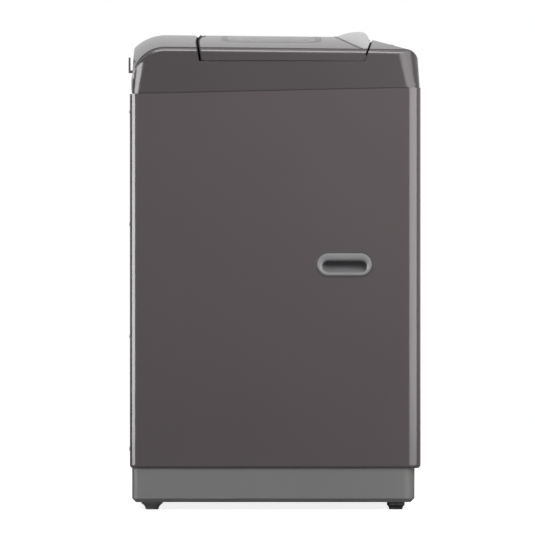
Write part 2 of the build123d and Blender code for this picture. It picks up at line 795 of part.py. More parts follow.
# Front feet: pads on threaded stems that screw up into the base
for side, name in ((-1, "left_levelling_foot"), (1, "right_levelling_foot")):
    with BuildPart() as foot:
        with BuildSketch(Plane.XZ.offset(-front_foot_y)):
            with BuildLine():
                sole = Line((side * foot_x, 0), (side * foot_x + FRONT_FOOT_RADIUS - PAD_INSET, 0))
                flank = SagittaArc(sole @ 1, (side * foot_x + FRONT_FOOT_RADIUS, PAD_RISE), PAD_BULGE)
                Polyline(
                    flank @ 1,
                    (side * foot_x + FRONT_FOOT_RADIUS, FRONT_FOOT_HEIGHT),
                    (side * foot_x + STEM_RADIUS, FRONT_FOOT_HEIGHT),
                    (side * foot_x + STEM_RADIUS, FRONT_FOOT_HEIGHT + STEM_LENGTH),
                    (side * foot_x, FRONT_FOOT_HEIGHT + STEM_LENGTH),
                    sole @ 0,
                )
            make_face()
        revolve(axis=Axis((side * foot_x, front_foot_y, 0), (0, 0, 1)))
    save(foot.part, name)

with BuildPart() as locknuts:
    with BuildSketch(Plane.XY.offset(boss_top)):
        with Locations((-foot_x, front_foot_y), (foot_x, front_foot_y)):
            RegularPolygon(2 * STEM_RADIUS, 6)
            Circle(STEM_RADIUS + STEM_CLEARANCE, mode=Mode.SUBTRACT)
    extrude(amount=LOCKNUT)
save(locknuts.part, "foot_locknuts")

# Top cover: shell under the outer form, with bays for the lid, panel, finger scoop and water inlet
outer_form = top_form(0.0)
inner_form = top_form(TOP_WALL)
with BuildPart() as cover_cavity:
    add(inner_form)
    add(lid_zone(LID_GAP + TOP_WALL, LID_SIDE_GAP + TOP_WALL), mode=Mode.SUBTRACT)
    add(panel_bay(TOP_WALL, PANEL_PLATE + TOP_WALL), mode=Mode.SUBTRACT)
    add(scoop(TOP_WALL), mode=Mode.SUBTRACT)

shelf_edge = TOP_WALL - SHELF_LAP
with BuildPart() as shelf:
    with BuildSketch(Plane.XY.offset(block_bottom)):
        add(plan(shelf_edge, shelf_edge, TOP_REAR_SETBACK + shelf_edge, CORNER_FRONT, CORNER_REAR))
        add(
            plan(SHELF_INSET, SHELF_INSET, TOP_REAR_SETBACK + SHELF_INSET, CORNER_FRONT, CORNER_REAR),
            mode=Mode.SUBTRACT,
        )
    extrude(amount=block_top - block_bottom)
    split(bisect_by=seam_plane(0.0), keep=Keep.TOP)
    split(bisect_by=seam_plane(-SHELF), keep=Keep.BOTTOM)

with BuildPart() as recess_walls:
    add(inlet_recess(TOP_WALL))
    add(inner_form, mode=Mode.INTERSECT)

with BuildPart() as cover_shell:
    add(outer_form)
    split(bisect_by=seam_plane(-TOP_REVEAL), keep=Keep.TOP)
    add(lid_zone(LID_GAP, LID_SIDE_GAP), mode=Mode.SUBTRACT)
    add(panel_bay(0.0, PANEL_PLATE), mode=Mode.SUBTRACT)
    add(scoop(0.0), mode=Mode.SUBTRACT)
    add(cover_cavity.part, mode=Mode.SUBTRACT)
    add(shelf.part)
    add(recess_walls.part)
    split(bisect_by=seam_plane(0.0), keep=Keep.TOP)
    add(inlet_recess(0.0), mode=Mode.SUBTRACT)
    add(mouth(TOP_WALL, collar_bottom, deck_top))
    add(mouth(0.0, collar_bottom - OVERCUT, deck_top + OVERCUT), mode=Mode.SUBTRACT)

# Drawer window in the mouth's collar, openings for the panel's works and the inlet thread
drawer_z = (drawer_bottom + drawer_top) / 2
with BuildPart() as cover_cuts:
    with Locations((0, mouth_rear, drawer_z)):
        Box(DRAWER_WIDTH + 2 * DRAWER_CLEARANCE, 4 * TOP_WALL, DRAWER_HEIGHT + 2 * DRAWER_CLEARANCE)
    with BuildSketch(panel_plane.offset(-PANEL_PLATE - 2 * TOP_WALL)):
        Rectangle(PANEL_WIDTH - 2 * PANEL_LIP_X, PANEL_LENGTH - 2 * PANEL_LIP_Y)
    extrude(amount=2 * TOP_WALL + OVERCUT)
    with Locations(Plane(origin=(INLET_X, rear - RECESS_DEPTH, inlet_z), z_dir=(0, 1, 0))):
        Cylinder(INLET_COLLAR, 4 * TOP_WALL)

with BuildPart() as top_cover:
    add(cover_shell.part)
    add(cover_cuts.part, mode=Mode.SUBTRACT)
save(top_cover.part, "top_cover")

# Hose hook on the rear wall
with BuildPart() as hook:
    with Locations((HOOK_X, rear + HOOK_REACH, hook_z)):
        Box(HOOK_WIDTH, 4 * HOOK_ARM, HOOK_ARM, align=(Align.CENTER, Align.MAX, Align.MIN))
        Box(HOOK_WIDTH, HOOK_THICKNESS, HOOK_HEIGHT, align=(Align.CENTER, Align.MAX, Align.MIN))
    add(outer_form, mode=Mode.SUBTRACT)
save(hook.part, "hose_hook")

# Hinge brackets stand on the deck under the rear edge of the lid, each with its pin pressed in
hinge_axis_plane = Plane(origin=(0, hinge_y, hinge_z), x_dir=(0, 1, 0), z_dir=(1, 0, 0))
with BuildPart() as brackets:
    for side in sides:
        with Locations((side * HINGE_SPACING / 2, hinge_y, deck_top)):
            Box(HINGE_ARM_WIDTH, HINGE_ARM, hinge_z - deck_top, align=(Align.CENTER, Align.CENTER, Align.MIN))
        with Locations(hinge_axis_plane.offset(side * HINGE_SPACING / 2)):
            Cylinder(HINGE_ARM / 2 + HINGE_EYE, HINGE_ARM_WIDTH)
            Cylinder(HINGE_PIN_RADIUS, HINGE_ARM_WIDTH + 2 * (KNUCKLE + PIN_PROUD))
save(brackets.part, "hinge_brackets")


# Lid: a shell cut from the outer form, lowered in front for the handle and open for the window
def handle_bay(grow):
    with BuildPart() as bay:
        with Locations((0, handle_rear - handle_radius, lid_edge)):
            Cylinder(handle_radius + grow, TOP_RISE, align=(Align.CENTER, Align.CENTER, Align.MIN))
        with Locations((0, 0, lid_edge)):
            Box(
                2 * (eave_x + grow),
                2 * DEPTH,
                TOP_RISE,
                align=(Align.CENTER, Align.CENTER, Align.MIN),
                mode=Mode.INTERSECT,
            )
    return bay.part


def window_prism(grow):
    with BuildPart() as prism:
        with BuildSketch(Plane.XY.offset(lid_edge - LEDGE)):
            with Locations((0, window_y)):
                RectangleRounded(WINDOW_WIDTH + 2 * grow, WINDOW_LENGTH + 2 * grow, WINDOW_CORNER + grow)
        extrude(amount=TOP_RISE)
    return prism.part


with BuildPart() as handle_seat:
    add(handle_bay(0.0))
    add(crown(HANDLE_THICKNESS), mode=Mode.SUBTRACT)

with BuildPart() as handle_roof:
    add(handle_bay(LID_WALL))
    add(crown(HANDLE_THICKNESS + LID_WALL), mode=Mode.SUBTRACT)

with BuildPart() as lid_cavity:
    add(inner_form)
    add(lid_zone(-LID_WALL, BLOCK_BEYOND), mode=Mode.INTERSECT)
    add(handle_roof.part, mode=Mode.SUBTRACT)

with BuildPart() as window_ledge:
    add(window_prism(LID_WALL))
    add(crown(LID_WALL - LEDGE_LAP), mode=Mode.INTERSECT)
    add(crown(GLASS + LEDGE_SHEET), mode=Mode.SUBTRACT)

hinge_slot = HINGE_ARM_WIDTH + 2 * HINGE_PLAY
with BuildPart() as knuckles:
    for side in sides:
        for end in sides:
            knuckle_x = side * HINGE_SPACING / 2 + end * (hinge_slot + KNUCKLE) / 2
            with Locations(hinge_axis_plane.offset(knuckle_x)):
                Cylinder(KNUCKLE_RADIUS, KNUCKLE)
            with Locations((knuckle_x, hinge_y, hinge_z)):
                Box(KNUCKLE, 2 * KNUCKLE_RADIUS, BARREL_RADIUS, align=(Align.CENTER, Align.CENTER, Align.MIN))

with BuildPart() as glass_bay:
    add(window_prism(0.0))
    add(crown(GLASS), mode=Mode.SUBTRACT)

with BuildPart() as lid_frame:
    add(outer_form)
    add(lid_zone(0.0, 0.0), mode=Mode.INTERSECT)
    add(handle_seat.part, mode=Mode.SUBTRACT)
    add(lid_cavity.part, mode=Mode.SUBTRACT)
    add(window_ledge.part)
    add(knuckles.part)
    add(outer_form, mode=Mode.INTERSECT)
    add(glass_bay.part, mode=Mode.SUBTRACT)
    add(window_prism(-LEDGE), mode=Mode.SUBTRACT)
    for side in sides:
        with Locations(hinge_axis_plane.offset(side * HINGE_SPACING / 2)):
            Cylinder(HINGE_ARM / 2 + HINGE_EYE + HINGE_EYE_PLAY, hinge_slot, mode=Mode.SUBTRACT)
            Cylinder(HINGE_PIN_RADIUS + RUNNING, hinge_slot + 4 * KNUCKLE, mode=Mode.SUBTRACT)
        with Locations((side * HINGE_SPACING / 2, hinge_y - HINGE_ARM / 2 - HINGE_PLAY, hinge_z)):
            Box(
                hinge_slot,
                HINGE_REAR_CUT,
                THROUGH,
                align=(Align.CENTER, Align.MIN, Align.MAX),
                mode=Mode.SUBTRACT,
            )
        with Locations((side * HINGE_SPACING / 2, hinge_y, hinge_z)):
            Box(
                hinge_slot,
                HINGE_REAR_CUT,
                HINGE_ARM / 2 + HINGE_PLAY,
                align=(Align.CENTER, Align.MIN, Align.MIN),
                mode=Mode.SUBTRACT,
            )
save(lid_frame.part, "lid_frame")

with BuildPart() as lid_window:
    add(outer_form)
    add(window_prism(-GLASS_PLAY), mode=Mode.INTERSECT)
    add(crown(GLASS), mode=Mode.SUBTRACT)
save(lid_window.part, "lid_window")

# Handle: a crescent cap on the front of the lid that swells to a rounded nose
handle_top = crest - (roll_y - handle_rear) * tan(radians(TOP_PITCH))
nose_z = lid_edge + HANDLE_NOSE
nose_y = lid_front - HANDLE_NOSE * slant
with BuildPart() as handle:
    with BuildSketch(Plane.YZ.offset(-half_width)):
        with BuildLine():
            swell = Spline(
                (handle_rear + HANDLE_LAP, handle_top),
                (handle_rear - HANDLE_SHOULDER, handle_top + 0.72 * HANDLE_RISE),
                (handle_rear - HANDLE_CROWN, handle_top + HANDLE_RISE),
                (handle_rear - HANDLE_BROW, handle_top + 0.95 * HANDLE_RISE),
                (nose_y + HANDLE_NOSE_RUN, nose_z + HANDLE_NOSE_RISE),
                (nose_y, nose_z),
            )
            Polyline(swell @ 1, (nose_y, lid_edge), (handle_rear + HANDLE_LAP, lid_edge), swell @ 0)
        make_face()
    extrude(amount=WIDTH)
    with BuildSketch(Plane.XZ):
        with BuildLine():
            brow = ThreePointArc(
                (-eave_x, eave_z - BROW_DROP),
                (0, handle_top + HANDLE_RISE + BROW_CLEAR),
                (eave_x, eave_z - BROW_DROP),
            )
            Polyline(brow @ 1, (eave_x, lid_edge), (-eave_x, lid_edge), brow @ 0)
        make_face()
    extrude(amount=DEPTH, mode=Mode.INTERSECT)
    add(handle_bay(-HANDLE_PLAY), mode=Mode.INTERSECT)
    add(lid_zone(0.0, 0.0), mode=Mode.INTERSECT)
    add(crown(HANDLE_THICKNESS), mode=Mode.SUBTRACT)
save(handle.part, "lid_handle")

# Liner closes the lid underneath, leaving the window clear; pads meet the deck
liner_bottom = lid_edge + LINER_RISE
liner_front = lid_front + LID_WALL + LINER_PLAY
liner_rear = hinge_y + BARREL_RADIUS - REAR_LEAN - LID_WALL - LINER_PLAY
with BuildPart() as liner:
    with Locations((0, (liner_front + liner_rear) / 2, liner_bottom)):
        Box(
            WIDTH - 2 * (LID_WALL + LINER_PLAY),
            liner_rear - liner_front,
            LINER,
            align=(Align.CENTER, Align.CENTER, Align.MIN),
        )
    add(window_prism(-LEDGE - LINER_MARGIN), mode=Mode.SUBTRACT)
    for side in sides:
        notch_y = hinge_y - HINGE_ARM / 2 - HINGE_EYE - LINER_NOTCH
        with Locations((side * HINGE_SPACING / 2, notch_y, liner_bottom)):
            Box(
                HINGE_ARM_WIDTH + 2 * LINER_NOTCH,
                HINGE_REAR_CUT,
                THROUGH,
                align=(Align.CENTER, Align.MIN, Align.CENTER),
                mode=Mode.SUBTRACT,
            )
save(liner.part, "lid_liner")

pad_bottom = deck_top + PAD_PLAY
with BuildPart() as pads:
    for side in sides:
        with Locations(
            (side * (half_width - PAD_SIDE_INSET), liner_front + PAD_EDGE_INSET, pad_bottom),
            (side * (half_width - PAD_SIDE_INSET), liner_rear - PAD_EDGE_INSET, pad_bottom),
        ):
            Cylinder(PAD_RADIUS, liner_bottom - pad_bottom, align=(Align.CENTER, Align.CENTER, Align.MIN))
save(pads.part, "lid_pads")

# Control panel: an inlaid plate with a display and six keys over a circuit board
key_x = [DISPLAY_WIDTH / 2 + KEY_GAP + step * BUTTON_PITCH for step in range(3)]
keys = [
    ("power_button", -key_x[2]),
    ("water_button", -key_x[1]),
    ("wash_button", -key_x[0]),
    ("rinse_button", key_x[0]),
    ("spin_button", key_x[1]),
    ("start_button", key_x[2]),
]
key_places = [(x, 0.0) for name, x in keys]
post_x = PANEL_WIDTH / 2 - POST_X_INSET
post_y = PANEL_LENGTH / 2 - POST_Y_INSET
post_places = [(sx * post_x, sy * post_y) for sx in sides for sy in sides]
with BuildPart() as control_panel:
    with BuildSketch(panel_plane.offset(-PANEL_PLATE)):
        RectangleRounded(PANEL_WIDTH - 2 * PANEL_FIT, PANEL_LENGTH - 2 * PANEL_FIT, PANEL_CORNER - PANEL_FIT)
        with Locations(*key_places):
            RectangleRounded(
                BUTTON_WIDTH + 2 * BUTTON_CLEARANCE,
                BUTTON_LENGTH + 2 * BUTTON_CLEARANCE,
                KEY_CORNER + BUTTON_CLEARANCE,
                mode=Mode.SUBTRACT,
            )
        RectangleRounded(
            DISPLAY_WIDTH - 2 * DISPLAY_LIP,
            DISPLAY_LENGTH - 2 * DISPLAY_LIP,
            DISPLAY_CORNER,
            mode=Mode.SUBTRACT,
        )
    extrude(amount=PANEL_PLATE)
    with BuildSketch(panel_plane.offset(-DISPLAY_SHEET)):
        RectangleRounded(DISPLAY_WIDTH, DISPLAY_LENGTH, DISPLAY_CORNER)
    extrude(amount=DISPLAY_SHEET + OVERCUT, mode=Mode.SUBTRACT)
    with BuildSketch(panel_plane.offset(-BOARD_DEPTH)):
        with Locations(*post_places):
            Circle(POST_RADIUS)
    extrude(amount=BOARD_DEPTH - POST_LAP)
save(control_panel.part, "control_panel")

with BuildPart() as display:
    with BuildSketch(panel_plane.offset(-DISPLAY_SHEET)):
        RectangleRounded(
            DISPLAY_WIDTH - 2 * DISPLAY_FIT,
            DISPLAY_LENGTH - 2 * DISPLAY_FIT,
            DISPLAY_CORNER - DISPLAY_FIT,
        )
    extrude(amount=DISPLAY_SHEET)
save(display.part, "display_window")

with BuildPart() as board:
    with BuildSketch(panel_plane.offset(-BOARD_DEPTH - BOARD_SHEET)):
        Rectangle(PANEL_WIDTH - 2 * BOARD_X_INSET, PANEL_LENGTH - 2 * BOARD_Y_INSET)
    extrude(amount=BOARD_SHEET)
    add(scoop(TOP_WALL + BOARD_CLEARANCE), mode=Mode.SUBTRACT)
    with BuildSketch(panel_plane.offset(-BOARD_DEPTH - SWITCH_LAP)):
        with Locations(*key_places):
            Circle(SWITCH_RADIUS)
    extrude(amount=BOARD_DEPTH + SWITCH_LAP - BUTTON_STEM - BUTTON_TRAVEL - SWITCH_GAP)
save(board.part, "control_board")

for name, x in keys:
    with BuildPart() as key:
        with BuildSketch(panel_plane.offset(-BUTTON_STEM)):
            with Locations((x, 0.0)):
                RectangleRounded(BUTTON_WIDTH, BUTTON_LENGTH, KEY_CORNER)
        extrude(amount=BUTTON_STEM + BUTTON_RISE)
        with BuildSketch(panel_plane.offset(-PANEL_PLATE - KEY_FLANGE_DROP)):
            with Locations((x, 0.0)):
                RectangleRounded(
                    BUTTON_WIDTH + 2 * KEY_FLANGE,
                    BUTTON_LENGTH + 2 * KEY_FLANGE,
                    KEY_CORNER + KEY_FLANGE,
                )
        extrude(amount=KEY_FLANGE_SHEET)
    save(key.part, name)

# Hand grips: flanged cups with a sloping floor, one on each side
for side, name in ((-1, "left_grip"), (1, "right_grip")):
    with BuildPart() as pocket:
        hollow = grip_sketch(side, half_width - GRIP_DEPTH + GRIP_WALL, GRIP_MOUTH_WIDTH, GRIP_MOUTH_HEIGHT)
        extrude(hollow, amount=GRIP_DEPTH + GRIP_FLANGE)
        split(
            bisect_by=Plane(
                origin=(side * (half_width - GRIP_SILL), grip_y, grip_z - GRIP_MOUTH_HEIGHT / 2),
                x_dir=(0, 1, 0),
                z_dir=(side * GRIP_MOUTH_HEIGHT, 0, GRIP_DEPTH),
            ),
            keep=Keep.TOP,
        )
    with BuildPart() as grip:
        extrude(grip_sketch(side, half_width, GRIP_WIDTH, GRIP_HEIGHT), amount=GRIP_FLANGE, taper=GRIP_TAPER)
        cup_width = GRIP_WIDTH - GRIP_LAP - 2 * GRIP_PLAY
        cup_height = GRIP_HEIGHT - GRIP_LAP - 2 * GRIP_PLAY
        cup = grip_sketch(side, half_width - GRIP_DEPTH, cup_width, cup_height)
        extrude(cup, amount=GRIP_DEPTH)
        add(pocket.part, mode=Mode.SUBTRACT)
    save(grip.part, name)

# Detergent drawer and its housing, hung under the deck behind the mouth
housing_front = mouth_rear + TOP_WALL + HOUSING_GAP
housing_length = DRAWER_LENGTH + HOUSING_SPARE
housing_mid = housing_front + housing_length / 2
with BuildPart() as dispenser:
    with Locations((0, housing_front, deck_bottom)):
        Box(
            DRAWER_WIDTH + 2 * (DRAWER_CLEARANCE + HOUSING_WALL),
            housing_length,
            DRAWER_DROP + DRAWER_HEIGHT + DRAWER_CLEARANCE + HOUSING_WALL,
            align=(Align.CENTER, Align.MIN, Align.MAX),
        )
    with Locations((0, housing_front - OVERCUT, drawer_z)):
        Box(
            DRAWER_WIDTH + 2 * DRAWER_CLEARANCE,
            housing_length - HOUSING_WALL,
            DRAWER_HEIGHT + 2 * DRAWER_CLEARANCE,
            align=(Align.CENTER, Align.MIN, Align.CENTER),
            mode=Mode.SUBTRACT,
        )
    with Locations((0, housing_front + SPRAY_SLOT_START, drawer_bottom - DRAWER_CLEARANCE)):
        Box(
            SPRAY_SLOT_WIDTH,
            SPRAY_SLOT_LENGTH,
            4 * HOUSING_WALL,
            align=(Align.CENTER, Align.MIN, Align.CENTER),
            mode=Mode.SUBTRACT,
        )
    with Locations(Plane(origin=(DRAWER_WIDTH / 2, housing_mid, drawer_z), z_dir=(1, 0, 0))):
        Cylinder(DUCT_RADIUS - DUCT_WALL, 8 * HOUSING_WALL, mode=Mode.SUBTRACT)
save(dispenser.part, "dispenser_housing")

drawer_face = mouth_rear - DRAWER_PROUD
with BuildPart() as drawer:
    with Locations((0, drawer_face, drawer_bottom)):
        Box(DRAWER_WIDTH, DRAWER_LENGTH, DRAWER_HEIGHT, align=(Align.CENTER, Align.MIN, Align.MIN))
    with Locations((0, drawer_face + DRAWER_FRONT, drawer_bottom + DRAWER_WALL)):
        with GridLocations((DRAWER_WIDTH - DRAWER_WALL) / 2, 1.0, 2, 1):
            Box(
                DRAWER_WIDTH / 2 - 2 * DRAWER_WALL,
                DRAWER_LENGTH - DRAWER_FRONT - DRAWER_WALL,
                DRAWER_HEIGHT,
                align=(Align.CENTER, Align.MIN, Align.MIN),
                mode=Mode.SUBTRACT,
            )
    with Locations(Plane(origin=(0, drawer_face, drawer_top), z_dir=(0, 1, 0))):
        Cylinder(DRAWER_PULL, 2 * DRAWER_PULL_DEPTH, mode=Mode.SUBTRACT)
save(drawer.part, "detergent_drawer")

# Water inlet valve behind the recess, and its duct to the dispenser
valve_y = rear - RECESS_DEPTH - TOP_WALL
with BuildPart() as valve:
    with Locations((INLET_X, valve_y, inlet_z)):
        Box(VALVE_WIDTH, VALVE_LENGTH, VALVE_HEIGHT, align=(Align.CENTER, Align.MAX, Align.CENTER))
    with Locations(Plane(origin=(INLET_X, valve_y, inlet_z), z_dir=(0, 1, 0))):
        Cylinder(INLET_COLLAR, TOP_WALL + INLET_PROUD, align=(Align.CENTER, Align.CENTER, Align.MIN))
        Cylinder(INLET_RADIUS, rear + INLET_PROUD - valve_y, align=(Align.CENTER, Align.CENTER, Align.MIN))
        Cylinder(
            INLET_RADIUS - INLET_WALL,
            THROUGH,
            align=(Align.CENTER, Align.CENTER, Align.MIN),
            mode=Mode.SUBTRACT,
        )
save(valve.part, "inlet_valve")

duct_from = DRAWER_WIDTH / 2 + DRAWER_CLEARANCE + HOUSING_WALL
duct_to = INLET_X - VALVE_WIDTH / 2
valve_mid = valve_y - VALVE_LENGTH / 2
with BuildPart() as duct:
    with BuildLine() as duct_path:
        FilletPolyline(
            (duct_from, housing_mid, drawer_z),
            ((duct_from + duct_to) / 2, housing_mid, drawer_z),
            ((duct_from + duct_to) / 2, valve_mid, inlet_z),
            (duct_to, valve_mid, inlet_z),
            radius=DUCT_BEND,
        )
    with BuildSketch(Plane(origin=(duct_from, housing_mid, drawer_z), z_dir=(1, 0, 0))):
        Circle(DUCT_RADIUS)
        Circle(DUCT_RADIUS - DUCT_WALL, mode=Mode.SUBTRACT)
    sweep()
save(duct.part, "inlet_duct")

with BuildPart() as sensor:
    with Locations(Plane(origin=(-duct_from, housing_mid, drawer_z), z_dir=(-1, 0, 0))):
        Cylinder(SENSOR_RADIUS, SENSOR_LENGTH, align=(Align.CENTER, Align.CENTER, Align.MIN))
        Cylinder(SENSOR_SPOUT, SENSOR_SPOUT_LENGTH, align=(Align.CENTER, Align.CENTER, Align.MIN))
save(sensor.part, "pressure_sensor")

lock_x = MOUTH_WIDTH / 2 - LOCK_MOUTH_INSET
lock_y = lid_front - LID_GAP + LOCK_SETBACK
with BuildPart() as lock:
    with Locations((lock_x, lock_y, deck_bottom)):
        Box(LOCK_WIDTH, LOCK_LENGTH, LOCK_HEIGHT, align=(Align.CENTER, Align.MIN, Align.MAX))
save(lock.part, "lid_lock")

# Suspension: four rods hung from corner brackets, with springs under the tub's lugs
with BuildSketch() as corner_triangles:
    for sx in sides:
        for sy in sides:
            with BuildLine():
                Polyline(
                    (sx * half_width, sy * rear),
                    (sx * (half_width - BRACKET_LEG), sy * rear),
                    (sx * half_width, sy * (rear - BRACKET_LEG)),
                    close=True,
                )
            make_face()

with BuildPart() as corner_brackets:
    with BuildSketch(Plane.XY.offset(bracket_top - BRACKET_SHEET)):
        add(plan(SHEET, SHEET, SHEET + REAR_SHEET, CORNER_FRONT - SHEET, CORNER_REAR - SHEET))
        add(corner_triangles.sketch, mode=Mode.INTERSECT)
        with Locations(*corners):
            Circle(ROD_RADIUS + ROD_CLEARANCE, mode=Mode.SUBTRACT)
    extrude(amount=BRACKET_SHEET)
save(corner_brackets.part, "corner_brackets")

with BuildPart() as rod_seats:
    with BuildSketch(Plane.XY.offset(bracket_top)):
        with Locations(*corners):
            Circle(ROD_HEAD_RADIUS + SEAT_MARGIN)
            Circle(ROD_RADIUS, mode=Mode.SUBTRACT)
    extrude(amount=SEAT_HEIGHT)
save(rod_seats.part, "rod_seats")

rod_bottom = spring_bottom - SPRING_CAP - ROD_HEAD
with BuildPart() as rods:
    with BuildSketch(Plane.XY.offset(rod_bottom)):
        with Locations(*corners):
            Circle(ROD_RADIUS)
    extrude(amount=bracket_top + SEAT_HEIGHT + ROD_TIP - rod_bottom)
    with BuildSketch(Plane.XY.offset(bracket_top + SEAT_HEIGHT)):
        with Locations(*corners):
            Circle(ROD_HEAD_RADIUS)
    extrude(amount=ROD_HEAD)
    with BuildSketch(Plane.XY.offset(rod_bottom)):
        with Locations(*corners):
            Circle(ROD_HEAD_RADIUS)
    extrude(amount=ROD_HEAD)
save(rods.part, "suspension_rods")

with BuildPart() as spring_caps:
    with BuildSketch(Plane.XY.offset(spring_bottom - SPRING_CAP)):
        with Locations(*corners):
            Circle(SPRING_RADIUS + SPRING_CAP_MARGIN)
            Circle(ROD_RADIUS, mode=Mode.SUBTRACT)
    extrude(amount=SPRING_CAP)
save(spring_caps.part, "spring_caps")

coil_height = SPRING_LENGTH - 2 * (SPRING_WIRE + SPRING_PLAY)
with BuildPart() as springs:
    for x, y in corners:
        with BuildLine() as coil:
            Helix(
                pitch=coil_height / SPRING_TURNS,
                height=coil_height,
                radius=SPRING_RADIUS,
                center=(x, y, spring_bottom + SPRING_WIRE + SPRING_PLAY),
            )
        with BuildSketch(Plane(origin=coil.line @ 0, z_dir=coil.line % 0)):
            Circle(SPRING_WIRE)
        sweep(path=coil.line)
save(springs.part, "suspension_springs")

# Outer tub with a lug for each rod, open at the hub and the drain
hub_radius = BEARING_RADIUS + HUB_MARGIN
with BuildPart() as tub:
    with BuildSketch(Plane.XZ):
        with BuildLine():
            Polyline(
                (hub_radius, tub_bottom),
                (tub_radius - TUB_KNUCKLE, tub_bottom),
                (tub_radius, tub_bottom + TUB_KNUCKLE),
                (tub_radius, tub_top),
                (tub_radius - TUB_WALL, tub_top),
                (tub_radius - TUB_WALL, tub_floor + TUB_KNUCKLE),
                (tub_radius - TUB_WALL - TUB_KNUCKLE, tub_floor),
                (hub_radius, tub_floor),
                close=True,
            )
        make_face()
    revolve(axis=Axis.Z)
    for x, y in corners:
        reach = hypot(x, y)
        with Locations(Location((0, 0, lug_bottom), (0, 0, degrees(atan2(y, x))))):
            with Locations((tub_radius - TUB_WALL / 2, 0, 0)):
                Box(
                    reach - tub_radius + TUB_WALL / 2,
                    LUG_WIDTH,
                    LUG_HEIGHT,
                    align=(Align.MIN, Align.CENTER, Align.MIN),
                )
        with Locations((x, y, lug_bottom)):
            Cylinder(LUG_WIDTH / 2, LUG_HEIGHT, align=(Align.CENTER, Align.CENTER, Align.MIN))
            Cylinder(ROD_RADIUS + ROD_CLEARANCE, 4 * LUG_HEIGHT, mode=Mode.SUBTRACT)
    with Locations((DRAIN_X, DRAIN_Y, tub_bottom)):
        Cylinder(DRAIN_RADIUS, 4 * TUB_FLOOR, mode=Mode.SUBTRACT)
save(tub.part, "outer_tub")

cover_bore = ring_bore + COVER_BORE_MARGIN
with BuildPart() as tub_cover:
    with BuildSketch(Plane.XZ):
        with BuildLine():
            Polyline(
                (tub_radius, tub_top),
                (tub_radius, cover_top),
                (cover_bore, cover_top),
                (cover_bore, cover_top - TUB_LIP),
                (cover_bore + TUB_WALL, cover_top - TUB_LIP),
                (cover_bore + TUB_WALL, cover_top - TUB_WALL),
                (tub_radius - TUB_WALL, cover_top - TUB_WALL),
                (tub_radius - TUB_WALL, tub_top),
                close=True,
            )
        make_face()
    revolve(axis=Axis.Z)
save(tub_cover.part, "tub_cover")

# Bearing housing, bearings and seal
upper_seat = tub_bottom - BEARING_WIDTH
lower_seat = housing_bottom + HOUSING_FOOT
with BuildPart() as bearing_housing:
    with BuildSketch(Plane.XZ):
        with BuildLine():
            Polyline(
                (BEARING_RADIUS, housing_bottom),
                (hub_radius, housing_bottom),
                (hub_radius, tub_bottom - HOUSING_FLANGE),
                (STATOR_BORE, tub_bottom - HOUSING_FLANGE),
                (STATOR_BORE, stator_top),
                (STATOR_BORE + STATOR_SEAT, stator_top),
                (STATOR_BORE + STATOR_SEAT, tub_bottom - HOUSING_FLANGE),
                (HOUSING_RADIUS, tub_bottom - HOUSING_FLANGE),
                (HOUSING_RADIUS, tub_bottom),
                (hub_radius, tub_bottom),
                (hub_radius, tub_floor + HOUSING_NECK),
                (BEARING_RADIUS, tub_floor + HOUSING_NECK),
                (BEARING_RADIUS, upper_seat),
                (BEARING_RADIUS - HOUSING_SHOULDER, upper_seat),
                (BEARING_RADIUS - HOUSING_SHOULDER, lower_seat + BEARING_WIDTH),
                (BEARING_RADIUS, lower_seat + BEARING_WIDTH),
                close=True,
            )
        make_face()
    revolve(axis=Axis.Z)
save(bearing_housing.part, "bearing_housing")

with BuildPart() as bearings:
    for level in (lower_seat, upper_seat):
        with BuildSketch(Plane.XY.offset(level)):
            Circle(BEARING_RADIUS)
            Circle(SPIN_SHAFT_RADIUS + RUNNING, mode=Mode.SUBTRACT)
        extrude(amount=BEARING_WIDTH)
save(bearings.part, "shaft_bearings")

with BuildPart() as seal:
    with BuildSketch(Plane.XY.offset(tub_bottom)):
        Circle(BEARING_RADIUS)
        Circle(SPIN_SHAFT_RADIUS + RUNNING, mode=Mode.SUBTRACT)
    extrude(amount=TUB_FLOOR + HOUSING_NECK)
save(seal.part, "shaft_seal")

with BuildPart() as stator:
    with BuildSketch(Plane.XY.offset(stator_bottom)):
        Circle(STATOR_RADIUS)
        Circle(STATOR_BORE, mode=Mode.SUBTRACT)
    extrude(amount=STATOR_HEIGHT)
save(stator.part, "stator")

# Drain valve under the tub, its motor, hose and rear outlet
with BuildPart() as drain_valve:
    with Locations((DRAIN_X, DRAIN_Y, tub_bottom)):
        Cylinder(DRAIN_VALVE_RADIUS, DRAIN_VALVE_HEIGHT, align=(Align.CENTER, Align.CENTER, Align.MAX))
    with Locations(Plane(origin=(DRAIN_X, DRAIN_Y, drain_z), z_dir=(0, 1, 0))):
        Cylinder(
            DRAIN_RADIUS + DRAIN_WALL,
            DRAIN_VALVE_RADIUS + DRAIN_SPOUT,
            align=(Align.CENTER, Align.CENTER, Align.MIN),
        )
        Cylinder(DRAIN_RADIUS, THROUGH, align=(Align.CENTER, Align.CENTER, Align.MIN), mode=Mode.SUBTRACT)
    with Locations((DRAIN_X, DRAIN_Y, tub_bottom)):
        Cylinder(
            DRAIN_RADIUS,
            tub_bottom - drain_z,
            align=(Align.CENTER, Align.CENTER, Align.MAX),
            mode=Mode.SUBTRACT,
        )
save(drain_valve.part, "drain_valve")

with BuildPart() as drain_motor:
    with Locations((DRAIN_X - DRAIN_VALVE_RADIUS + DRAIN_MOTOR_LAP, DRAIN_Y, tub_bottom)):
        Box(
            DRAIN_MOTOR_LENGTH,
            DRAIN_MOTOR_WIDTH,
            DRAIN_MOTOR_HEIGHT,
            align=(Align.MAX, Align.CENTER, Align.MAX),
        )
    with Locations((DRAIN_X, DRAIN_Y, tub_bottom)):
        Cylinder(DRAIN_VALVE_RADIUS, THROUGH, mode=Mode.SUBTRACT)
save(drain_motor.part, "drain_motor")

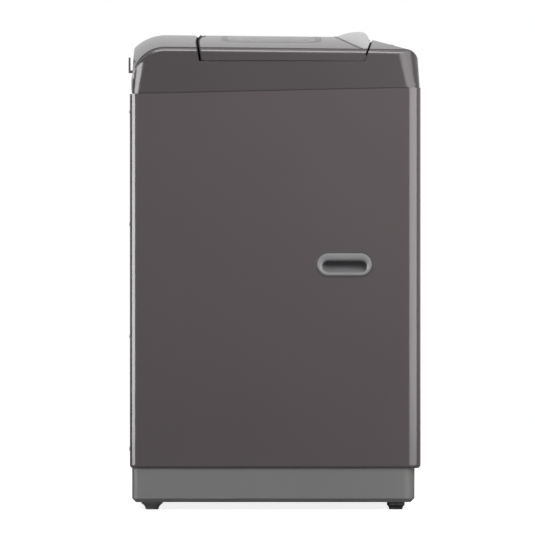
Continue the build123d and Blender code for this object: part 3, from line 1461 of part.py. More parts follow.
hose_from = DRAIN_Y + DRAIN_VALVE_RADIUS + DRAIN_SPOUT
hose_to = rear + OUTLET_PROUD - OUTLET_LENGTH
with BuildPart() as drain_hose:
    with BuildSketch(Plane(origin=(DRAIN_X, hose_from, drain_z), z_dir=(0, 1, 0))):
        Circle(DRAIN_RADIUS + DRAIN_WALL)
        Circle(DRAIN_RADIUS, mode=Mode.SUBTRACT)
    extrude(amount=hose_to - hose_from)
save(drain_hose.part, "drain_hose")

outlet_flange_y = rear - SHEET - REAR_SHEET - OUTLET_FLANGE_SHEET
with BuildPart() as drain_outlet:
    with BuildSketch(Plane(origin=(DRAIN_X, hose_to, drain_z), z_dir=(0, 1, 0))):
        Circle(DRAIN_RADIUS + DRAIN_WALL)
        Circle(OUTLET_RADIUS, mode=Mode.SUBTRACT)
    extrude(amount=OUTLET_LENGTH)
    with BuildSketch(Plane(origin=(DRAIN_X, outlet_flange_y, drain_z), z_dir=(0, 1, 0))):
        Circle(DRAIN_RADIUS + DRAIN_WALL + OUTLET_FLANGE)
        Circle(OUTLET_RADIUS, mode=Mode.SUBTRACT)
    extrude(amount=OUTLET_FLANGE_SHEET)
save(drain_outlet.part, "drain_outlet")

with BuildPart() as gland:
    with BuildSketch(Plane(origin=(CORD_X, rear - SHEET - REAR_SHEET, cord_z), z_dir=(0, 1, 0))):
        Circle(CORD_HOLE)
        Circle(CORD_HOLE - GLAND_WALL, mode=Mode.SUBTRACT)
    extrude(amount=SHEET + REAR_SHEET)
    with BuildSketch(Plane(origin=(CORD_X, rear - SHEET, cord_z), z_dir=(0, 1, 0))):
        Circle(CORD_HOLE + GLAND_FLANGE)
        Circle(CORD_HOLE - GLAND_WALL, mode=Mode.SUBTRACT)
    extrude(amount=GLAND_FLANGE_SHEET)
save(gland.part, "cord_gland")

# Basket: perforated drum, moulded floor and hub, balance ring, hollow shaft and lint filters
drum_bore = basket_radius - BASKET_SHEET
drum_top = ring_top - DRUM_LAP
hole_span = ring_bottom - basket_floor - 2 * HOLE_MARGIN
with BuildPart() as drum:
    with BuildSketch(Plane.XY.offset(basket_bottom)):
        Circle(basket_radius)
        Circle(drum_bore, mode=Mode.SUBTRACT)
    extrude(amount=drum_top - basket_bottom)
    for row in range(HOLE_ROWS):
        hole_z = basket_floor + HOLE_MARGIN + row * hole_span / (HOLE_ROWS - 1)
        with Locations((0, 0, hole_z)):
            with PolarLocations(0.0, HOLE_COLUMNS // 2, angular_range=180.0):
                Cylinder(HOLE_RADIUS, 3 * basket_radius, rotation=(0, 90, 0), mode=Mode.SUBTRACT)
save(drum.part, "drum")

with BuildPart() as basket_base:
    with BuildSketch(Plane.XZ):
        with BuildLine():
            Polyline(
                (SPIN_SHAFT_RADIUS, basket_bottom - HUB_PLATE_DROP),
                (hub_radius + HUB_PLATE_MARGIN, basket_bottom - HUB_PLATE_DROP),
                (hub_radius + HUB_PLATE_MARGIN, basket_bottom),
                (drum_bore, basket_bottom),
                (drum_bore, basket_floor + SKIRT_RISE),
                (drum_bore - SKIRT_SHEET, basket_floor + SKIRT_RISE),
                (drum_bore - SKIRT_RUN, basket_floor),
                (SPIN_SHAFT_RADIUS, basket_floor),
                close=True,
            )
        make_face()
    revolve(axis=Axis.Z)
save(basket_base.part, "basket_base")

with BuildPart() as ring:
    with BuildSketch(Plane.XZ):
        with BuildLine():
            FilletPolyline(
                (ring_bore, ring_bottom),
                (drum_bore, ring_bottom),
                (drum_bore, drum_top),
                (basket_radius + RING_PROUD, drum_top),
                (basket_radius + RING_PROUD, ring_top),
                (ring_bore, ring_top),
                close=True,
                radius=RING_CORNERS,
            )
        make_face()
    revolve(axis=Axis.Z)
save(ring.part, "balance_ring")

with BuildPart() as spin_shaft:
    with BuildSketch(Plane.XY.offset(housing_bottom)):
        Circle(SPIN_SHAFT_RADIUS)
        Circle(DRIVE_SHAFT_RADIUS + RUNNING, mode=Mode.SUBTRACT)
    extrude(amount=basket_floor - housing_bottom)
    with BuildSketch(Plane.XY.offset(basket_bottom - SHAFT_FLANGE_DROP)):
        Circle(hub_radius)
        Circle(DRIVE_SHAFT_RADIUS + RUNNING, mode=Mode.SUBTRACT)
    extrude(amount=SHAFT_FLANGE)
save(spin_shaft.part, "spin_shaft")

with BuildPart() as filters:
    for side in sides:
        with Locations((side * drum_bore, 0, (basket_floor + ring_bottom) / 2)):
            Box(FILTER_DEPTH, FILTER_WIDTH, FILTER_HEIGHT)
    with Locations((0, 0, (basket_floor + ring_bottom) / 2)):
        Cylinder(drum_bore, 2 * FILTER_HEIGHT, mode=Mode.INTERSECT)
save(filters.part, "lint_filters")

# Pulsator with rounded blades, on the inner shaft that the rotor turns
hub_top = pulsator_bottom + PULSATOR_HUB
blade_root = CAP_RADIUS - BLADE_ROOT
with BuildPart() as pulsator:
    with BuildSketch(Plane.XZ):
        with BuildLine():
            Polyline(
                (DRIVE_SHAFT_RADIUS, pulsator_bottom),
                (PULSATOR_RADIUS - PULSATOR_TOE, pulsator_bottom),
                (PULSATOR_RADIUS, pulsator_bottom + PULSATOR_TOE),
                (PULSATOR_RADIUS - PULSATOR_RIM, pulsator_bottom + PULSATOR_RIM_RISE),
                (PULSATOR_RADIUS - PULSATOR_DISH, pulsator_bottom + PULSATOR_PLATE),
                (CAP_RADIUS + PULSATOR_SKIRT, pulsator_bottom + PULSATOR_PLATE + PULSATOR_SKIRT_RISE),
                (CAP_RADIUS, hub_top),
                (DRIVE_SHAFT_RADIUS, hub_top),
                close=True,
            )
        make_face()
    revolve(axis=Axis.Z)
    for step in range(BLADE_COUNT):
        turn = radians(360.0 * step / BLADE_COUNT)
        blade_plane = Plane(
            origin=(blade_root * cos(turn), blade_root * sin(turn), pulsator_bottom + BLADE_SINK),
            x_dir=(-sin(turn), cos(turn), 0),
            z_dir=(cos(turn), sin(turn), 0),
        )
        with BuildSketch(blade_plane):
            with BuildLine():
                ridge = ThreePointArc((BLADE_WIDTH / 2, 0), (0, BLADE_HEIGHT), (-BLADE_WIDTH / 2, 0))
                Line(ridge @ 1, ridge @ 0)
            make_face()
        extrude(amount=PULSATOR_RADIUS - CAP_RADIUS - BLADE_TIP_INSET, taper=BLADE_TAPER)
save(pulsator.part, "pulsator")

cap_sphere = (CAP_RADIUS**2 + CAP_RISE**2) / (2 * CAP_RISE)
with BuildPart() as cap:
    with BuildSketch(Plane.XZ):
        with BuildLine():
            dome = RadiusArc((CAP_RADIUS, hub_top), (0, hub_top + CAP_RISE), -cap_sphere)
            Polyline(dome @ 1, (0, hub_top), dome @ 0)
        make_face()
    revolve(axis=Axis.Z)
save(cap.part, "pulsator_cap")

with BuildPart() as drive_shaft:
    with BuildSketch(Plane.XY.offset(shaft_bottom)):
        Circle(DRIVE_SHAFT_RADIUS)
    extrude(amount=hub_top - shaft_bottom)
save(drive_shaft.part, "drive_shaft")

magnet_bore = STATOR_RADIUS + AIR_GAP
rotor_bore = ROTOR_RADIUS - ROTOR_WALL
with BuildPart() as rotor:
    with BuildSketch(Plane.XZ):
        with BuildLine():
            Polyline(
                (DRIVE_SHAFT_RADIUS, rotor_bottom),
                (ROTOR_RADIUS, rotor_bottom),
                (ROTOR_RADIUS, stator_top + ROTOR_RIM),
                (rotor_bore, stator_top + ROTOR_RIM),
                (rotor_bore, rotor_bottom + ROTOR_WALL),
                (ROTOR_HUB_FOOT, rotor_bottom + ROTOR_WALL),
                (ROTOR_HUB_RADIUS, rotor_bottom + ROTOR_HUB),
                (DRIVE_SHAFT_RADIUS, rotor_bottom + ROTOR_HUB),
                close=True,
            )
        make_face()
    revolve(axis=Axis.Z)
save(rotor.part, "rotor")

with BuildPart() as magnets:
    with BuildSketch(Plane.XY.offset(stator_bottom)):
        Circle(rotor_bore)
        Circle(magnet_bore, mode=Mode.SUBTRACT)
    extrude(amount=STATOR_HEIGHT)
save(magnets.part, "rotor_magnets")

with BuildPart() as rotor_nut:
    with BuildSketch(Plane.XY.offset(rotor_bottom - ROTOR_NUT)):
        RegularPolygon(DRIVE_SHAFT_RADIUS + NUT_MARGIN, 6)
        Circle(DRIVE_SHAFT_RADIUS, mode=Mode.SUBTRACT)
    extrude(amount=ROTOR_NUT)
save(rotor_nut.part, "rotor_nut")
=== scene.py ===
# %% [markdown]
# # A top load washing machine
#
# The machine is a painted steel cabinet on a moulded base, with a moulded top cover, a domed lid with a
# smoked window, and a tub, basket and pulsator hung inside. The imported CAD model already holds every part
# at its true place, in metres, so this lesson adds what CAD doesn't give: light, finishes, and the finer
# pieces that catch the eye. Everything is made in the same frame, with the front towards -Y and Z up.

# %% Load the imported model
import json
import math

import bpy
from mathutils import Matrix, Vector


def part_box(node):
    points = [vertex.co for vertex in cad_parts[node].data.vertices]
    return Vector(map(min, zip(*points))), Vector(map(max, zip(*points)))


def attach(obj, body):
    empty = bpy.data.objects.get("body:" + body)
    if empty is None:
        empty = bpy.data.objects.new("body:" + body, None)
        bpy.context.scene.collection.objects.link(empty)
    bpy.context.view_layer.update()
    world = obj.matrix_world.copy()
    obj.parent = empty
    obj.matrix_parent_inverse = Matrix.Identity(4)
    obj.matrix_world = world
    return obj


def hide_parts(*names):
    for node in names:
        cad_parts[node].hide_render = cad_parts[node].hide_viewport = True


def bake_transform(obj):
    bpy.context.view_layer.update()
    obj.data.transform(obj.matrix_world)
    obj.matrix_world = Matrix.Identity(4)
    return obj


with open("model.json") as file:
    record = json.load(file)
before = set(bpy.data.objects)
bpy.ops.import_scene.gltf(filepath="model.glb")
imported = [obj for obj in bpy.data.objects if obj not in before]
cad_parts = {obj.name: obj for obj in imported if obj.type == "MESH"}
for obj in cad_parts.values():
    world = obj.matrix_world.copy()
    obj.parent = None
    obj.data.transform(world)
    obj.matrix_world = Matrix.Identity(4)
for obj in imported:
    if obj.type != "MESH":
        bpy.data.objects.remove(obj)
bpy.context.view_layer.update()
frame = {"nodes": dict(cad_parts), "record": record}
slot_of = {row["node"]: row["material_slot"] for row in frame["record"]["subparts"]}
bpy.ops.object.select_all(action="DESELECT")
print("CAD nodes:", len(frame["nodes"]), "in", len(set(slot_of.values())), "material slots")

# %% [markdown]
# ## Camera
#
# The machine was pictured square on to its left side, from far away and almost level, so that upright
# edges stay upright and the far side hides behind the near one. A long lens at a long distance gives that
# flat look. The frame is just under a metre across at the near side of the cabinet.

# %% Place the camera
FRAME_WIDTH = 0.9928
CAMERA_DISTANCE = 25.0
CAMERA_RISE = math.radians(0.6)
CLIP_NEAR, CLIP_FAR = 1.0, 100.0
SENSOR = 36.0
AIM = Vector((-0.270, 0.0144, 0.4500))


def aimed(name, data, place, target):
    """Puts a camera or a lamp at a place and turns it towards a target."""
    holder = bpy.data.objects.new(name, data)
    holder.location = place
    holder.rotation_euler = (Vector(target) - Vector(place)).to_track_quat("-Z", "Y").to_euler()
    bpy.context.scene.collection.objects.link(holder)
    return holder


camera_data = bpy.data.cameras.new("camera")
camera_data.sensor_width = SENSOR
camera_data.lens = SENSOR * CAMERA_DISTANCE / FRAME_WIDTH
camera_data.clip_start = CLIP_NEAR
camera_data.clip_end = CLIP_FAR
to_camera = Vector((-math.cos(CAMERA_RISE), 0.0, math.sin(CAMERA_RISE)))
bpy.context.scene.camera = aimed("camera", camera_data, AIM + CAMERA_DISTANCE * to_camera, AIM)
print("lens", round(camera_data.lens), "mm")

# %% [markdown]
# ## Studio
#
# Dark glossy paint shows its shape mostly by what it mirrors. A flat side mirrors the plain room round the
# camera, while each rounded upright corner turns through a quarter circle and picks up a softbox as a
# bright strip. One large lamp above the camera's shoulder and one overhead light the matt part of every
# surface, a little more at the top than at the bottom, and a weaker one fills the far side. Three more
# softboxes, towards the front, towards the rear and above, are seen only in mirrored rays, so they draw the
# strips and leave the general level alone. Bare metal mirrors far more than paint, so a flag keeps the rear
# softbox off it, as a photographer would with a black card.
#
# The world and every finish are networks of nodes. Three small helpers wire them: each input gets either a
# fixed value or the output of another node.

# %% Helpers that wire nodes
def feed(tree, sockets, values):
    """Links each named or numbered input to an output of another node, or gives it a fixed value."""
    for label, value in values.items():
        if isinstance(value, bpy.types.NodeSocket):
            tree.links.new(value, sockets[label])
        else:
            sockets[label].default_value = value


def add_node(tree, kind, inputs):
    """A new shader node with some of its inputs fed."""
    node = tree.nodes.new("ShaderNode" + kind)
    feed(tree, node.inputs, inputs)
    return node


def maths(tree, operation, *values):
    """The result of a maths node, whose values are numbers or outputs of other nodes."""
    node = tree.nodes.new("ShaderNodeMath")
    node.operation = operation
    feed(tree, node.inputs, dict(enumerate(values)))
    return node.outputs[0]


# %% Light the room
ROOM_LEVEL = 0.25
WHITE = (1.0, 1.0, 1.0, 1.0)
bpy.context.scene.view_settings.view_transform = "Standard"
world = bpy.data.worlds.new("studio")
bpy.context.scene.world = world
world.use_nodes = True
tree = world.node_tree
tree.nodes.clear()
room = add_node(tree, "Background", {"Color": WHITE, "Strength": ROOM_LEVEL})
paper = add_node(tree, "Background", {"Color": WHITE, "Strength": 1.0})
ray = add_node(tree, "LightPath", {}).outputs
seen_or_mirrored = maths(tree, "MAXIMUM", ray["Is Camera Ray"], ray["Is Glossy Ray"])
sees_paper = maths(tree, "MAXIMUM", seen_or_mirrored, ray["Is Transmission Ray"])
sky = add_node(tree, "MixShader", {0: sees_paper, 1: room.outputs[0], 2: paper.outputs[0]})
add_node(tree, "OutputWorld", {"Surface": sky.outputs[0]})
print("world nodes:", len(tree.nodes))

# %% Set up the softboxes
MACHINE_MIDDLE = (0.0, 0.0, 0.45)


def softbox(name, place, size, power, strip=False):
    """A rectangular area lamp that faces the machine; a strip shows only in reflections."""
    lamp = bpy.data.lights.new(name, "AREA")
    lamp.shape = "RECTANGLE"
    lamp.size, lamp.size_y = size
    lamp.energy = power
    holder = aimed(name, lamp, place, MACHINE_MIDDLE)
    holder.visible_camera = False
    holder.visible_diffuse = not strip
    holder.visible_glossy = strip
    return holder


softbox("key_lamp", place=(-1.7, -0.9, 1.7), size=(1.4, 1.4), power=47.0)
softbox("top_lamp", place=(0.2, 0.0, 3.2), size=(2.4, 2.4), power=50.0)
softbox("fill_lamp", place=(1.9, 0.7, 1.6), size=(1.6, 1.6), power=26.0)
softbox("front_strip", place=(-1.9, -2.0, 0.40), size=(3.4, 2.0), power=146.0, strip=True)
rear_strip = softbox("rear_strip", place=(-1.8, 2.2, 0.40), size=(2.7, 2.0), power=265.0, strip=True)
softbox("top_strip", place=(-0.7, 0.0, 3.0), size=(2.2, 1.4), power=110.0, strip=True)

# %% Flag the rear softbox
BARE_METAL_SLOTS = ("rear_steel", "steel", "drum_steel", "cast_alloy", "cap_silver")
flag = bpy.data.collections.new("rear_strip_flag")
rear_strip.light_linking.receiver_collection = flag


def keep_off_rear_strip(piece):
    """Puts one piece of bare metal behind the flag."""
    flag.objects.link(piece)
    for flagged in flag.collection_objects:
        flagged.light_linking.link_state = "EXCLUDE"


for node, slot in slot_of.items():
    if slot in BARE_METAL_SLOTS:
        keep_off_rear_strip(frame["nodes"][node])

# %% [markdown]
# ## Floor
#
# A plain pale floor carries the machine and keeps its soft shadow. It is one large flat sheet of matt
# paper. To the camera a share of its white is its own, as if the paper were lit from below too, so the
# paper stays white while the shadow under the base still shows.

# %% A helper that starts a material
def start_material(name, inputs):
    """A new material, its node tree, and its shader's sockets, some of which are set."""
    material = bpy.data.materials.new(name)
    material.use_nodes = True
    look = material.node_tree.nodes["Principled BSDF"].inputs
    feed(material.node_tree, look, inputs)
    return material, material.node_tree, look


# %% Lay the paper floor
FLOOR_SIZE = 14.0
FLOOR_DROP = 0.0004
FLOOR_CUTS = 6
PAPER_GREY = (0.55, 0.55, 0.55, 1.0)
OWN_WHITE = 0.85
bpy.ops.mesh.primitive_plane_add(size=FLOOR_SIZE, location=(0.0, 0.0, -FLOOR_DROP))
floor = bpy.context.active_object
floor.name = "floor"
bpy.ops.object.mode_set(mode="EDIT")
bpy.ops.mesh.subdivide(number_cuts=FLOOR_CUTS)
bpy.ops.object.mode_set(mode="OBJECT")
paper_sheet = {"Base Color": PAPER_GREY, "Roughness": 0.9, "Specular IOR Level": 0.1, "Emission Color": WHITE}
paper_white, tree, look = start_material("paper_white", paper_sheet)
ray = add_node(tree, "LightPath", {}).outputs
feed(tree, look, {"Emission Strength": maths(tree, "MULTIPLY", ray["Is Camera Ray"], OWN_WHITE)})
floor.data.materials.append(paper_white)
print("floor", FLOOR_SIZE, "m across")

# %% [markdown]
# ## Shared effects
#
# Moulded plastic, paint and sheet metal are never perfectly even. Four effects are used again and again, so
# each is a node group: a fine grain with broad patches, brushing lines, the smudges that hands leave on
# gloss, and the dust that settles on faces that look up. Each material places the group and gives it its own
# numbers. A fifth group marks a band of painted shade: a black band beside the gap behind the lid, which
# widens the gap's dark line, found by its distance from the hinge line.

# %% Helpers for node groups
def start_group(name, inputs, outputs):
    """An empty group that reads a position: its tree, what comes into it and what goes out."""
    group = bpy.data.node_groups.new(name, "ShaderNodeTree")
    group.interface.new_socket("Position", in_out="INPUT", socket_type="NodeSocketVector")
    for label, value in inputs.items():
        kind = "NodeSocketVector" if isinstance(value, tuple) else "NodeSocketFloat"
        group.interface.new_socket(label, in_out="INPUT", socket_type=kind).default_value = value
    for label in outputs:
        group.interface.new_socket(label, in_out="OUTPUT", socket_type="NodeSocketFloat")
    return group, group.nodes.new("NodeGroupInput").outputs, group.nodes.new("NodeGroupOutput").inputs


def noise(tree, place, scale, detail, roughness=0.5):
    """The value of a noise texture."""
    inputs = {"Vector": place, "Scale": scale, "Detail": detail, "Roughness": roughness}
    return add_node(tree, "TexNoise", inputs).outputs["Fac"]


def product(tree, first, *others):
    """All the values multiplied, one after the other."""
    for other in others:
        first = maths(tree, "MULTIPLY", first, other)
    return first


def remap(tree, value, low=0.0, high=1.0, to_low=0.0, to_high=1.0):
    """A value carried from one range to another and clamped there."""
    inputs = {"Value": value, "From Min": low, "From Max": high, "To Min": to_low, "To Max": to_high}
    return add_node(tree, "MapRange", inputs).outputs["Result"]


# %% Grain and broad patches
grain_group, inlet, outlet = start_group("moulded_grain", {"Scale": 600.0}, ["Height", "Patch"])
fine = noise(grain_group, inlet["Position"], inlet["Scale"], detail=3.0)
broad = noise(grain_group, inlet["Position"], scale=5.0, detail=2.0)
feed(grain_group, outlet, {"Height": fine, "Patch": remap(grain_group, broad, 0.2, 0.8)})

# %% Brushing lines
STRETCH = (1.0, 1.0, 0.02)
brush_group, inlet, outlet = start_group("brushing_lines", {"Stretch": STRETCH}, ["Height", "Streak"])
stretched = add_node(brush_group, "VectorMath", {0: inlet["Position"], 1: inlet["Stretch"]})
stretched.operation = "MULTIPLY"
lines = noise(brush_group, stretched.outputs[0], scale=900.0, detail=4.0, roughness=0.6)
feed(brush_group, outlet, {"Height": lines, "Streak": remap(brush_group, lines, 0.25, 0.75)})

# %% Smudges from handling
smudge_group, inlet, outlet = start_group("hand_smudges", {"Amount": 0.1}, ["Smudge"])
cloud = noise(smudge_group, inlet["Position"], scale=9.0, detail=2.0)
streaks = noise(smudge_group, inlet["Position"], scale=160.0, detail=2.0)
patchy = remap(smudge_group, cloud, 0.35, 0.85)
feed(smudge_group, outlet, {"Smudge": product(smudge_group, patchy, streaks, inlet["Amount"])})

# %% Settled dust
dust_group, inlet, outlet = start_group("settled_dust", {"Amount": 0.1}, ["Dust"])
facing = add_node(dust_group, "NewGeometry", {}).outputs["Normal"]
upright_share = add_node(dust_group, "SeparateXYZ", {0: facing}).outputs["Z"]
upward = remap(dust_group, upright_share, 0.35, 1.0)
specks = noise(dust_group, inlet["Position"], scale=90.0, detail=6.0, roughness=0.75)
scatter = remap(dust_group, specks, 0.45, 0.7)
feed(dust_group, outlet, {"Dust": product(dust_group, upward, scatter, inlet["Amount"])})

# %% Where the painted gap shade along the lid's rear edge lies
HINGE_Y, HINGE_Z = 0.130, 0.869215
BARREL_RADIUS = 0.013
REAR_EDGE_LEAN = 0.161
GAP_SHADE_MIDDLE, GAP_SHADE_HALF = 0.0016, 0.0040
GAP_SHADE_DROP = 0.0365
gap_shade_offset = BARREL_RADIUS + GAP_SHADE_MIDDLE
gap_shade_group, inlet, outlet = start_group("painted_gap_shade", {}, ["GapShade"])
axes = add_node(gap_shade_group, "SeparateXYZ", {0: inlet["Position"]}).outputs
behind = maths(gap_shade_group, "SUBTRACT", axes["Y"], HINGE_Y)
above = maths(gap_shade_group, "SUBTRACT", axes["Z"], HINGE_Z)


# %% Paint the black band of gap shade
def diagonal(tree, first, second):
    """The length of a line, from its two runs at right angles."""
    squares = [product(tree, run, run) for run in (first, second)]
    return maths(tree, "SQRT", maths(tree, "ADD", *squares))


on_ring = maths(gap_shade_group, "COMPARE", diagonal(gap_shade_group, behind, above), gap_shade_offset, GAP_SHADE_HALF)
rear_half = maths(gap_shade_group, "GREATER_THAN", behind, 0.0)
upper_half = maths(gap_shade_group, "GREATER_THAN", above, 0.0)
rolled = product(gap_shade_group, on_ring, rear_half, upper_half)
from_edge = maths(gap_shade_group, "ADD", behind, product(gap_shade_group, above, -REAR_EDGE_LEAN))
on_edge = maths(gap_shade_group, "COMPARE", from_edge, gap_shade_offset, GAP_SHADE_HALF)
below_hinge = maths(gap_shade_group, "COMPARE", above, -GAP_SHADE_DROP / 2, GAP_SHADE_DROP / 2)
straight = product(gap_shade_group, on_edge, below_hinge)
feed(gap_shade_group, outlet, {"GapShade": maths(gap_shade_group, "MAXIMUM", rolled, straight)})
print("node groups:", [g.name for g in bpy.data.node_groups])

# %% [markdown]
# ## Paint and plastic
#
# Paint, gloss plastic, matt plastic and rubber all come from one recipe: a colour that drifts a little
# between a darker and a lighter tone, a roughness that follows the same patches, a fine bump, a trace of
# dust and some handling marks. Only the numbers change from one finish to the next, so the recipe is a
# function.

# %% Helpers for finishes
finishes = {}


def start_finish(slot, roughness, metallic=0.0, specular=0.5):
    """A new finish for a slot: its node tree, its shader's sockets and the object coordinates."""
    inputs = {"Roughness": roughness, "Metallic": metallic, "Specular IOR Level": specular}
    finishes[slot], tree, look = start_material(slot + "_finish", inputs)
    return tree, look, add_node(tree, "TexCoord", {}).outputs["Object"]


def place_group(tree, group, place, **values):
    """What a node group puts out, fed with the position and with its other inputs set."""
    node = tree.nodes.new("ShaderNodeGroup")
    node.node_tree = group
    feed(tree, node.inputs, {"Position": place, **values})
    return node.outputs


def bump_from(tree, height, strength, distance):
    """A normal that follows a height."""
    inputs = {"Strength": strength, "Distance": distance, "Height": height}
    return add_node(tree, "Bump", inputs).outputs["Normal"]


# %% Helpers for colours
DUST_COLOUR = (0.42, 0.40, 0.37, 1.0)
MIX_FIRST, MIX_SECOND, MIX_RESULT = 6, 7, 2


def tint(colour, factor):
    """The colour made darker or lighter."""
    return tuple(min(1.0, c * factor) for c in colour) + (1.0,)


def blend_colours(tree, factor, first, second):
    """A colour mix; each side is a colour or an output of another node."""
    mix = tree.nodes.new("ShaderNodeMix")
    mix.data_type = "RGBA"
    feed(tree, mix.inputs, {"Factor": factor, MIX_FIRST: first, MIX_SECOND: second})
    return mix.outputs[MIX_RESULT]


def drifting(tree, share, colour, drift):
    """A colour that drifts from a darker to a lighter tone."""
    return blend_colours(tree, share, tint(colour, 1.0 - drift), tint(colour, 1.0 + drift))


def dusted(tree, place, colour, amount):
    """A colour with dust on the faces that look up."""
    dust = place_group(tree, dust_group, place, Amount=amount)["Dust"]
    return blend_colours(tree, dust, colour, DUST_COLOUR)


# %% The recipe for paint and plastic
GRAIN_HEIGHT = 0.0004


def coated(slot, colour, roughness, specular=0.5, drift=0.05, spread=0.05, grain=600.0, depth=0.1, dust=0.1,
           smudge=0.1, metallic=0.0):
    """Paint, plastic or rubber with its own grain, patches, dust and handling marks."""
    tree, look, place = start_finish(slot, roughness, metallic, specular)
    grained = place_group(tree, grain_group, place, Scale=grain)
    marks = place_group(tree, smudge_group, place, Amount=smudge)
    body = drifting(tree, grained["Patch"], colour, drift)
    sheen = remap(tree, grained["Patch"], to_low=roughness - spread, to_high=roughness + spread)
    feed(tree, look, {
        "Base Color": dusted(tree, place, body, dust),
        "Roughness": maths(tree, "ADD", sheen, marks["Smudge"]),
        "Normal": bump_from(tree, grained["Height"], depth, GRAIN_HEIGHT),
    })


# %% Mix the paints and plastics
coated("body_paint", (0.062, 0.051, 0.054), 0.18, specular=0.4, drift=0.02, spread=0.01, grain=420.0,
       depth=0.015, dust=0.08, smudge=0.03)
coated("top_plastic", (0.045, 0.038, 0.041), 0.245, specular=0.36, drift=0.02, spread=0.01, grain=900.0,
       depth=0.01, dust=0.015, smudge=0.02)
coated("base_plastic", (0.115, 0.115, 0.114), 0.55, specular=0.3, grain=1100.0, depth=0.25, dust=0.2,
       smudge=0.05)
coated("trim_plastic", (0.018, 0.018, 0.019), 0.5, drift=0.1, grain=1200.0, depth=0.2)
coated("handle_silver", (0.25, 0.25, 0.255), 0.33, specular=0.8, drift=0.03, grain=1500.0, depth=0.03,
       smudge=0.06)
coated("panel_gloss", (0.010, 0.010, 0.011), 0.32, drift=0.1, spread=0.02, grain=900.0, depth=0.02,
       smudge=0.05)
coated("key_plastic", (0.36, 0.36, 0.365), 0.36, specular=0.4, drift=0.03, grain=1500.0, depth=0.05)
coated("grip_plastic", (0.155, 0.153, 0.158), 0.38, specular=0.4, drift=0.04, grain=1200.0, depth=0.18)
coated("foot_rubber", (0.150, 0.150, 0.150), 0.75, specular=0.25, drift=0.15, grain=1500.0, depth=0.35,
       dust=0.3)
coated("foot_plastic", (0.014, 0.014, 0.014), 0.55, specular=0.35, drift=0.12, grain=1200.0, depth=0.2,
       dust=0.2)
coated("white_plastic", (0.68, 0.68, 0.66), 0.45, drift=0.03, grain=900.0, depth=0.12)
coated("grey_plastic", (0.45, 0.47, 0.49), 0.38, drift=0.03, grain=1000.0, smudge=0.12)
coated("cap_silver", (0.58, 0.58, 0.585), 0.33, drift=0.03, grain=1500.0, depth=0.03, metallic=0.5)
coated("magnet_grey", (0.075, 0.075, 0.078), 0.5, drift=0.15, grain=700.0, depth=0.25, metallic=0.3)
print("paints and plastics:", len(finishes))

# %% Add the black band of painted gap shade to the top's plastic
GAP_SHADE_BLACK = (0.004, 0.004, 0.004, 1.0)
GAP_SHADE_DULLNESS = 0.6


def reopened(slot):
    """The tree, the shader's sockets and the object coordinates of a finish that is already mixed."""
    tree = finishes[slot].node_tree
    return tree, tree.nodes["Principled BSDF"].inputs, add_node(tree, "TexCoord", {}).outputs["Object"]


def paint_over(tree, look, mask, colour):
    """Covers the finish's colour with another one where the mask is one."""
    plain = look["Base Color"].links[0].from_socket
    feed(tree, look, {"Base Color": blend_colours(tree, mask, plain, colour)})


# The black, dull band is painted shade beside the gap behind the lid, which widens the gap's dark line.
tree, look, place = reopened("top_plastic")
gap_shade = place_group(tree, gap_shade_group, place)["GapShade"]
paint_over(tree, look, gap_shade, GAP_SHADE_BLACK)
glossy = look["Roughness"].links[0].from_socket
dull = remap(tree, gap_shade, to_high=GAP_SHADE_DULLNESS)
feed(tree, look, {"Roughness": maths(tree, "ADD", glossy, dull)})
print("top plastic carries the seal")

# %% [markdown]
# ## Metals
#
# The rear panel is galvanised sheet, whose zinc freezes into flat crystals, so its pattern is a cell
# texture. The brackets, rods and screws are plated steel with fine drawing lines. The drum is stainless
# steel brushed round its axis, the bearing housing is a rough aluminium casting, and the motor's coils show
# as turns of copper wire.

# %% Brushed and plated metal
CLOUD_GRAIN = 300.0
CLOUD_TINT = 0.92
LINE_HEIGHT = 0.0003


def brushed(slot, colour, roughness, stretch, drift=0.12, spread=0.08, depth=0.08, dust=0.05):
    """Metal with drawing or brushing lines along one direction."""
    tree, look, place = start_finish(slot, roughness, metallic=1.0)
    lined = place_group(tree, brush_group, place, Stretch=stretch)
    grained = place_group(tree, grain_group, place, Scale=CLOUD_GRAIN)
    streaked = drifting(tree, lined["Streak"], colour, drift)
    clouded = blend_colours(tree, grained["Patch"], streaked, tint(colour, CLOUD_TINT))
    feed(tree, look, {
        "Base Color": dusted(tree, place, clouded, dust),
        "Roughness": remap(tree, lined["Streak"], to_low=roughness - spread, to_high=roughness + spread),
        "Normal": bump_from(tree, lined["Height"], depth, LINE_HEIGHT),
    })


brushed("steel", (0.50, 0.50, 0.51), 0.36, stretch=(1.0, 1.0, 0.05))
brushed("drum_steel", (0.60, 0.60, 0.605), 0.33, stretch=(0.04, 0.04, 1.0), drift=0.06, spread=0.05,
        depth=0.05, dust=0.0)

# %% Galvanised sheet and cast alloy
CELL_GRAIN = 700.0
CELL_DUST = 0.15
CELL_SHINE, CELL_DULLNESS = 0.08, 0.1


def mottled(slot, colour, roughness, cells, contrast, depth):
    """Metal with a cell pattern: zinc crystals on sheet, or the pits of a casting."""
    tree, look, place = start_finish(slot, roughness, metallic=1.0)
    crystals = add_node(tree, "TexVoronoi", {"Vector": place, "Scale": cells}).outputs["Color"]
    shade = add_node(tree, "SeparateColor", {"Color": crystals}).outputs
    spangled = drifting(tree, shade["Red"], colour, contrast)
    grained = place_group(tree, grain_group, place, Scale=CELL_GRAIN)
    smooth, rough = roughness - CELL_SHINE, roughness + CELL_DULLNESS
    feed(tree, look, {
        "Base Color": dusted(tree, place, spangled, CELL_DUST),
        "Roughness": remap(tree, shade["Green"], to_low=smooth, to_high=rough),
        "Normal": bump_from(tree, grained["Height"], depth, GRAIN_HEIGHT),
    })


mottled("rear_steel", (0.42, 0.43, 0.44), 0.42, cells=90.0, contrast=0.14, depth=0.08)
mottled("cast_alloy", (0.44, 0.44, 0.45), 0.5, cells=800.0, contrast=0.06, depth=0.5)
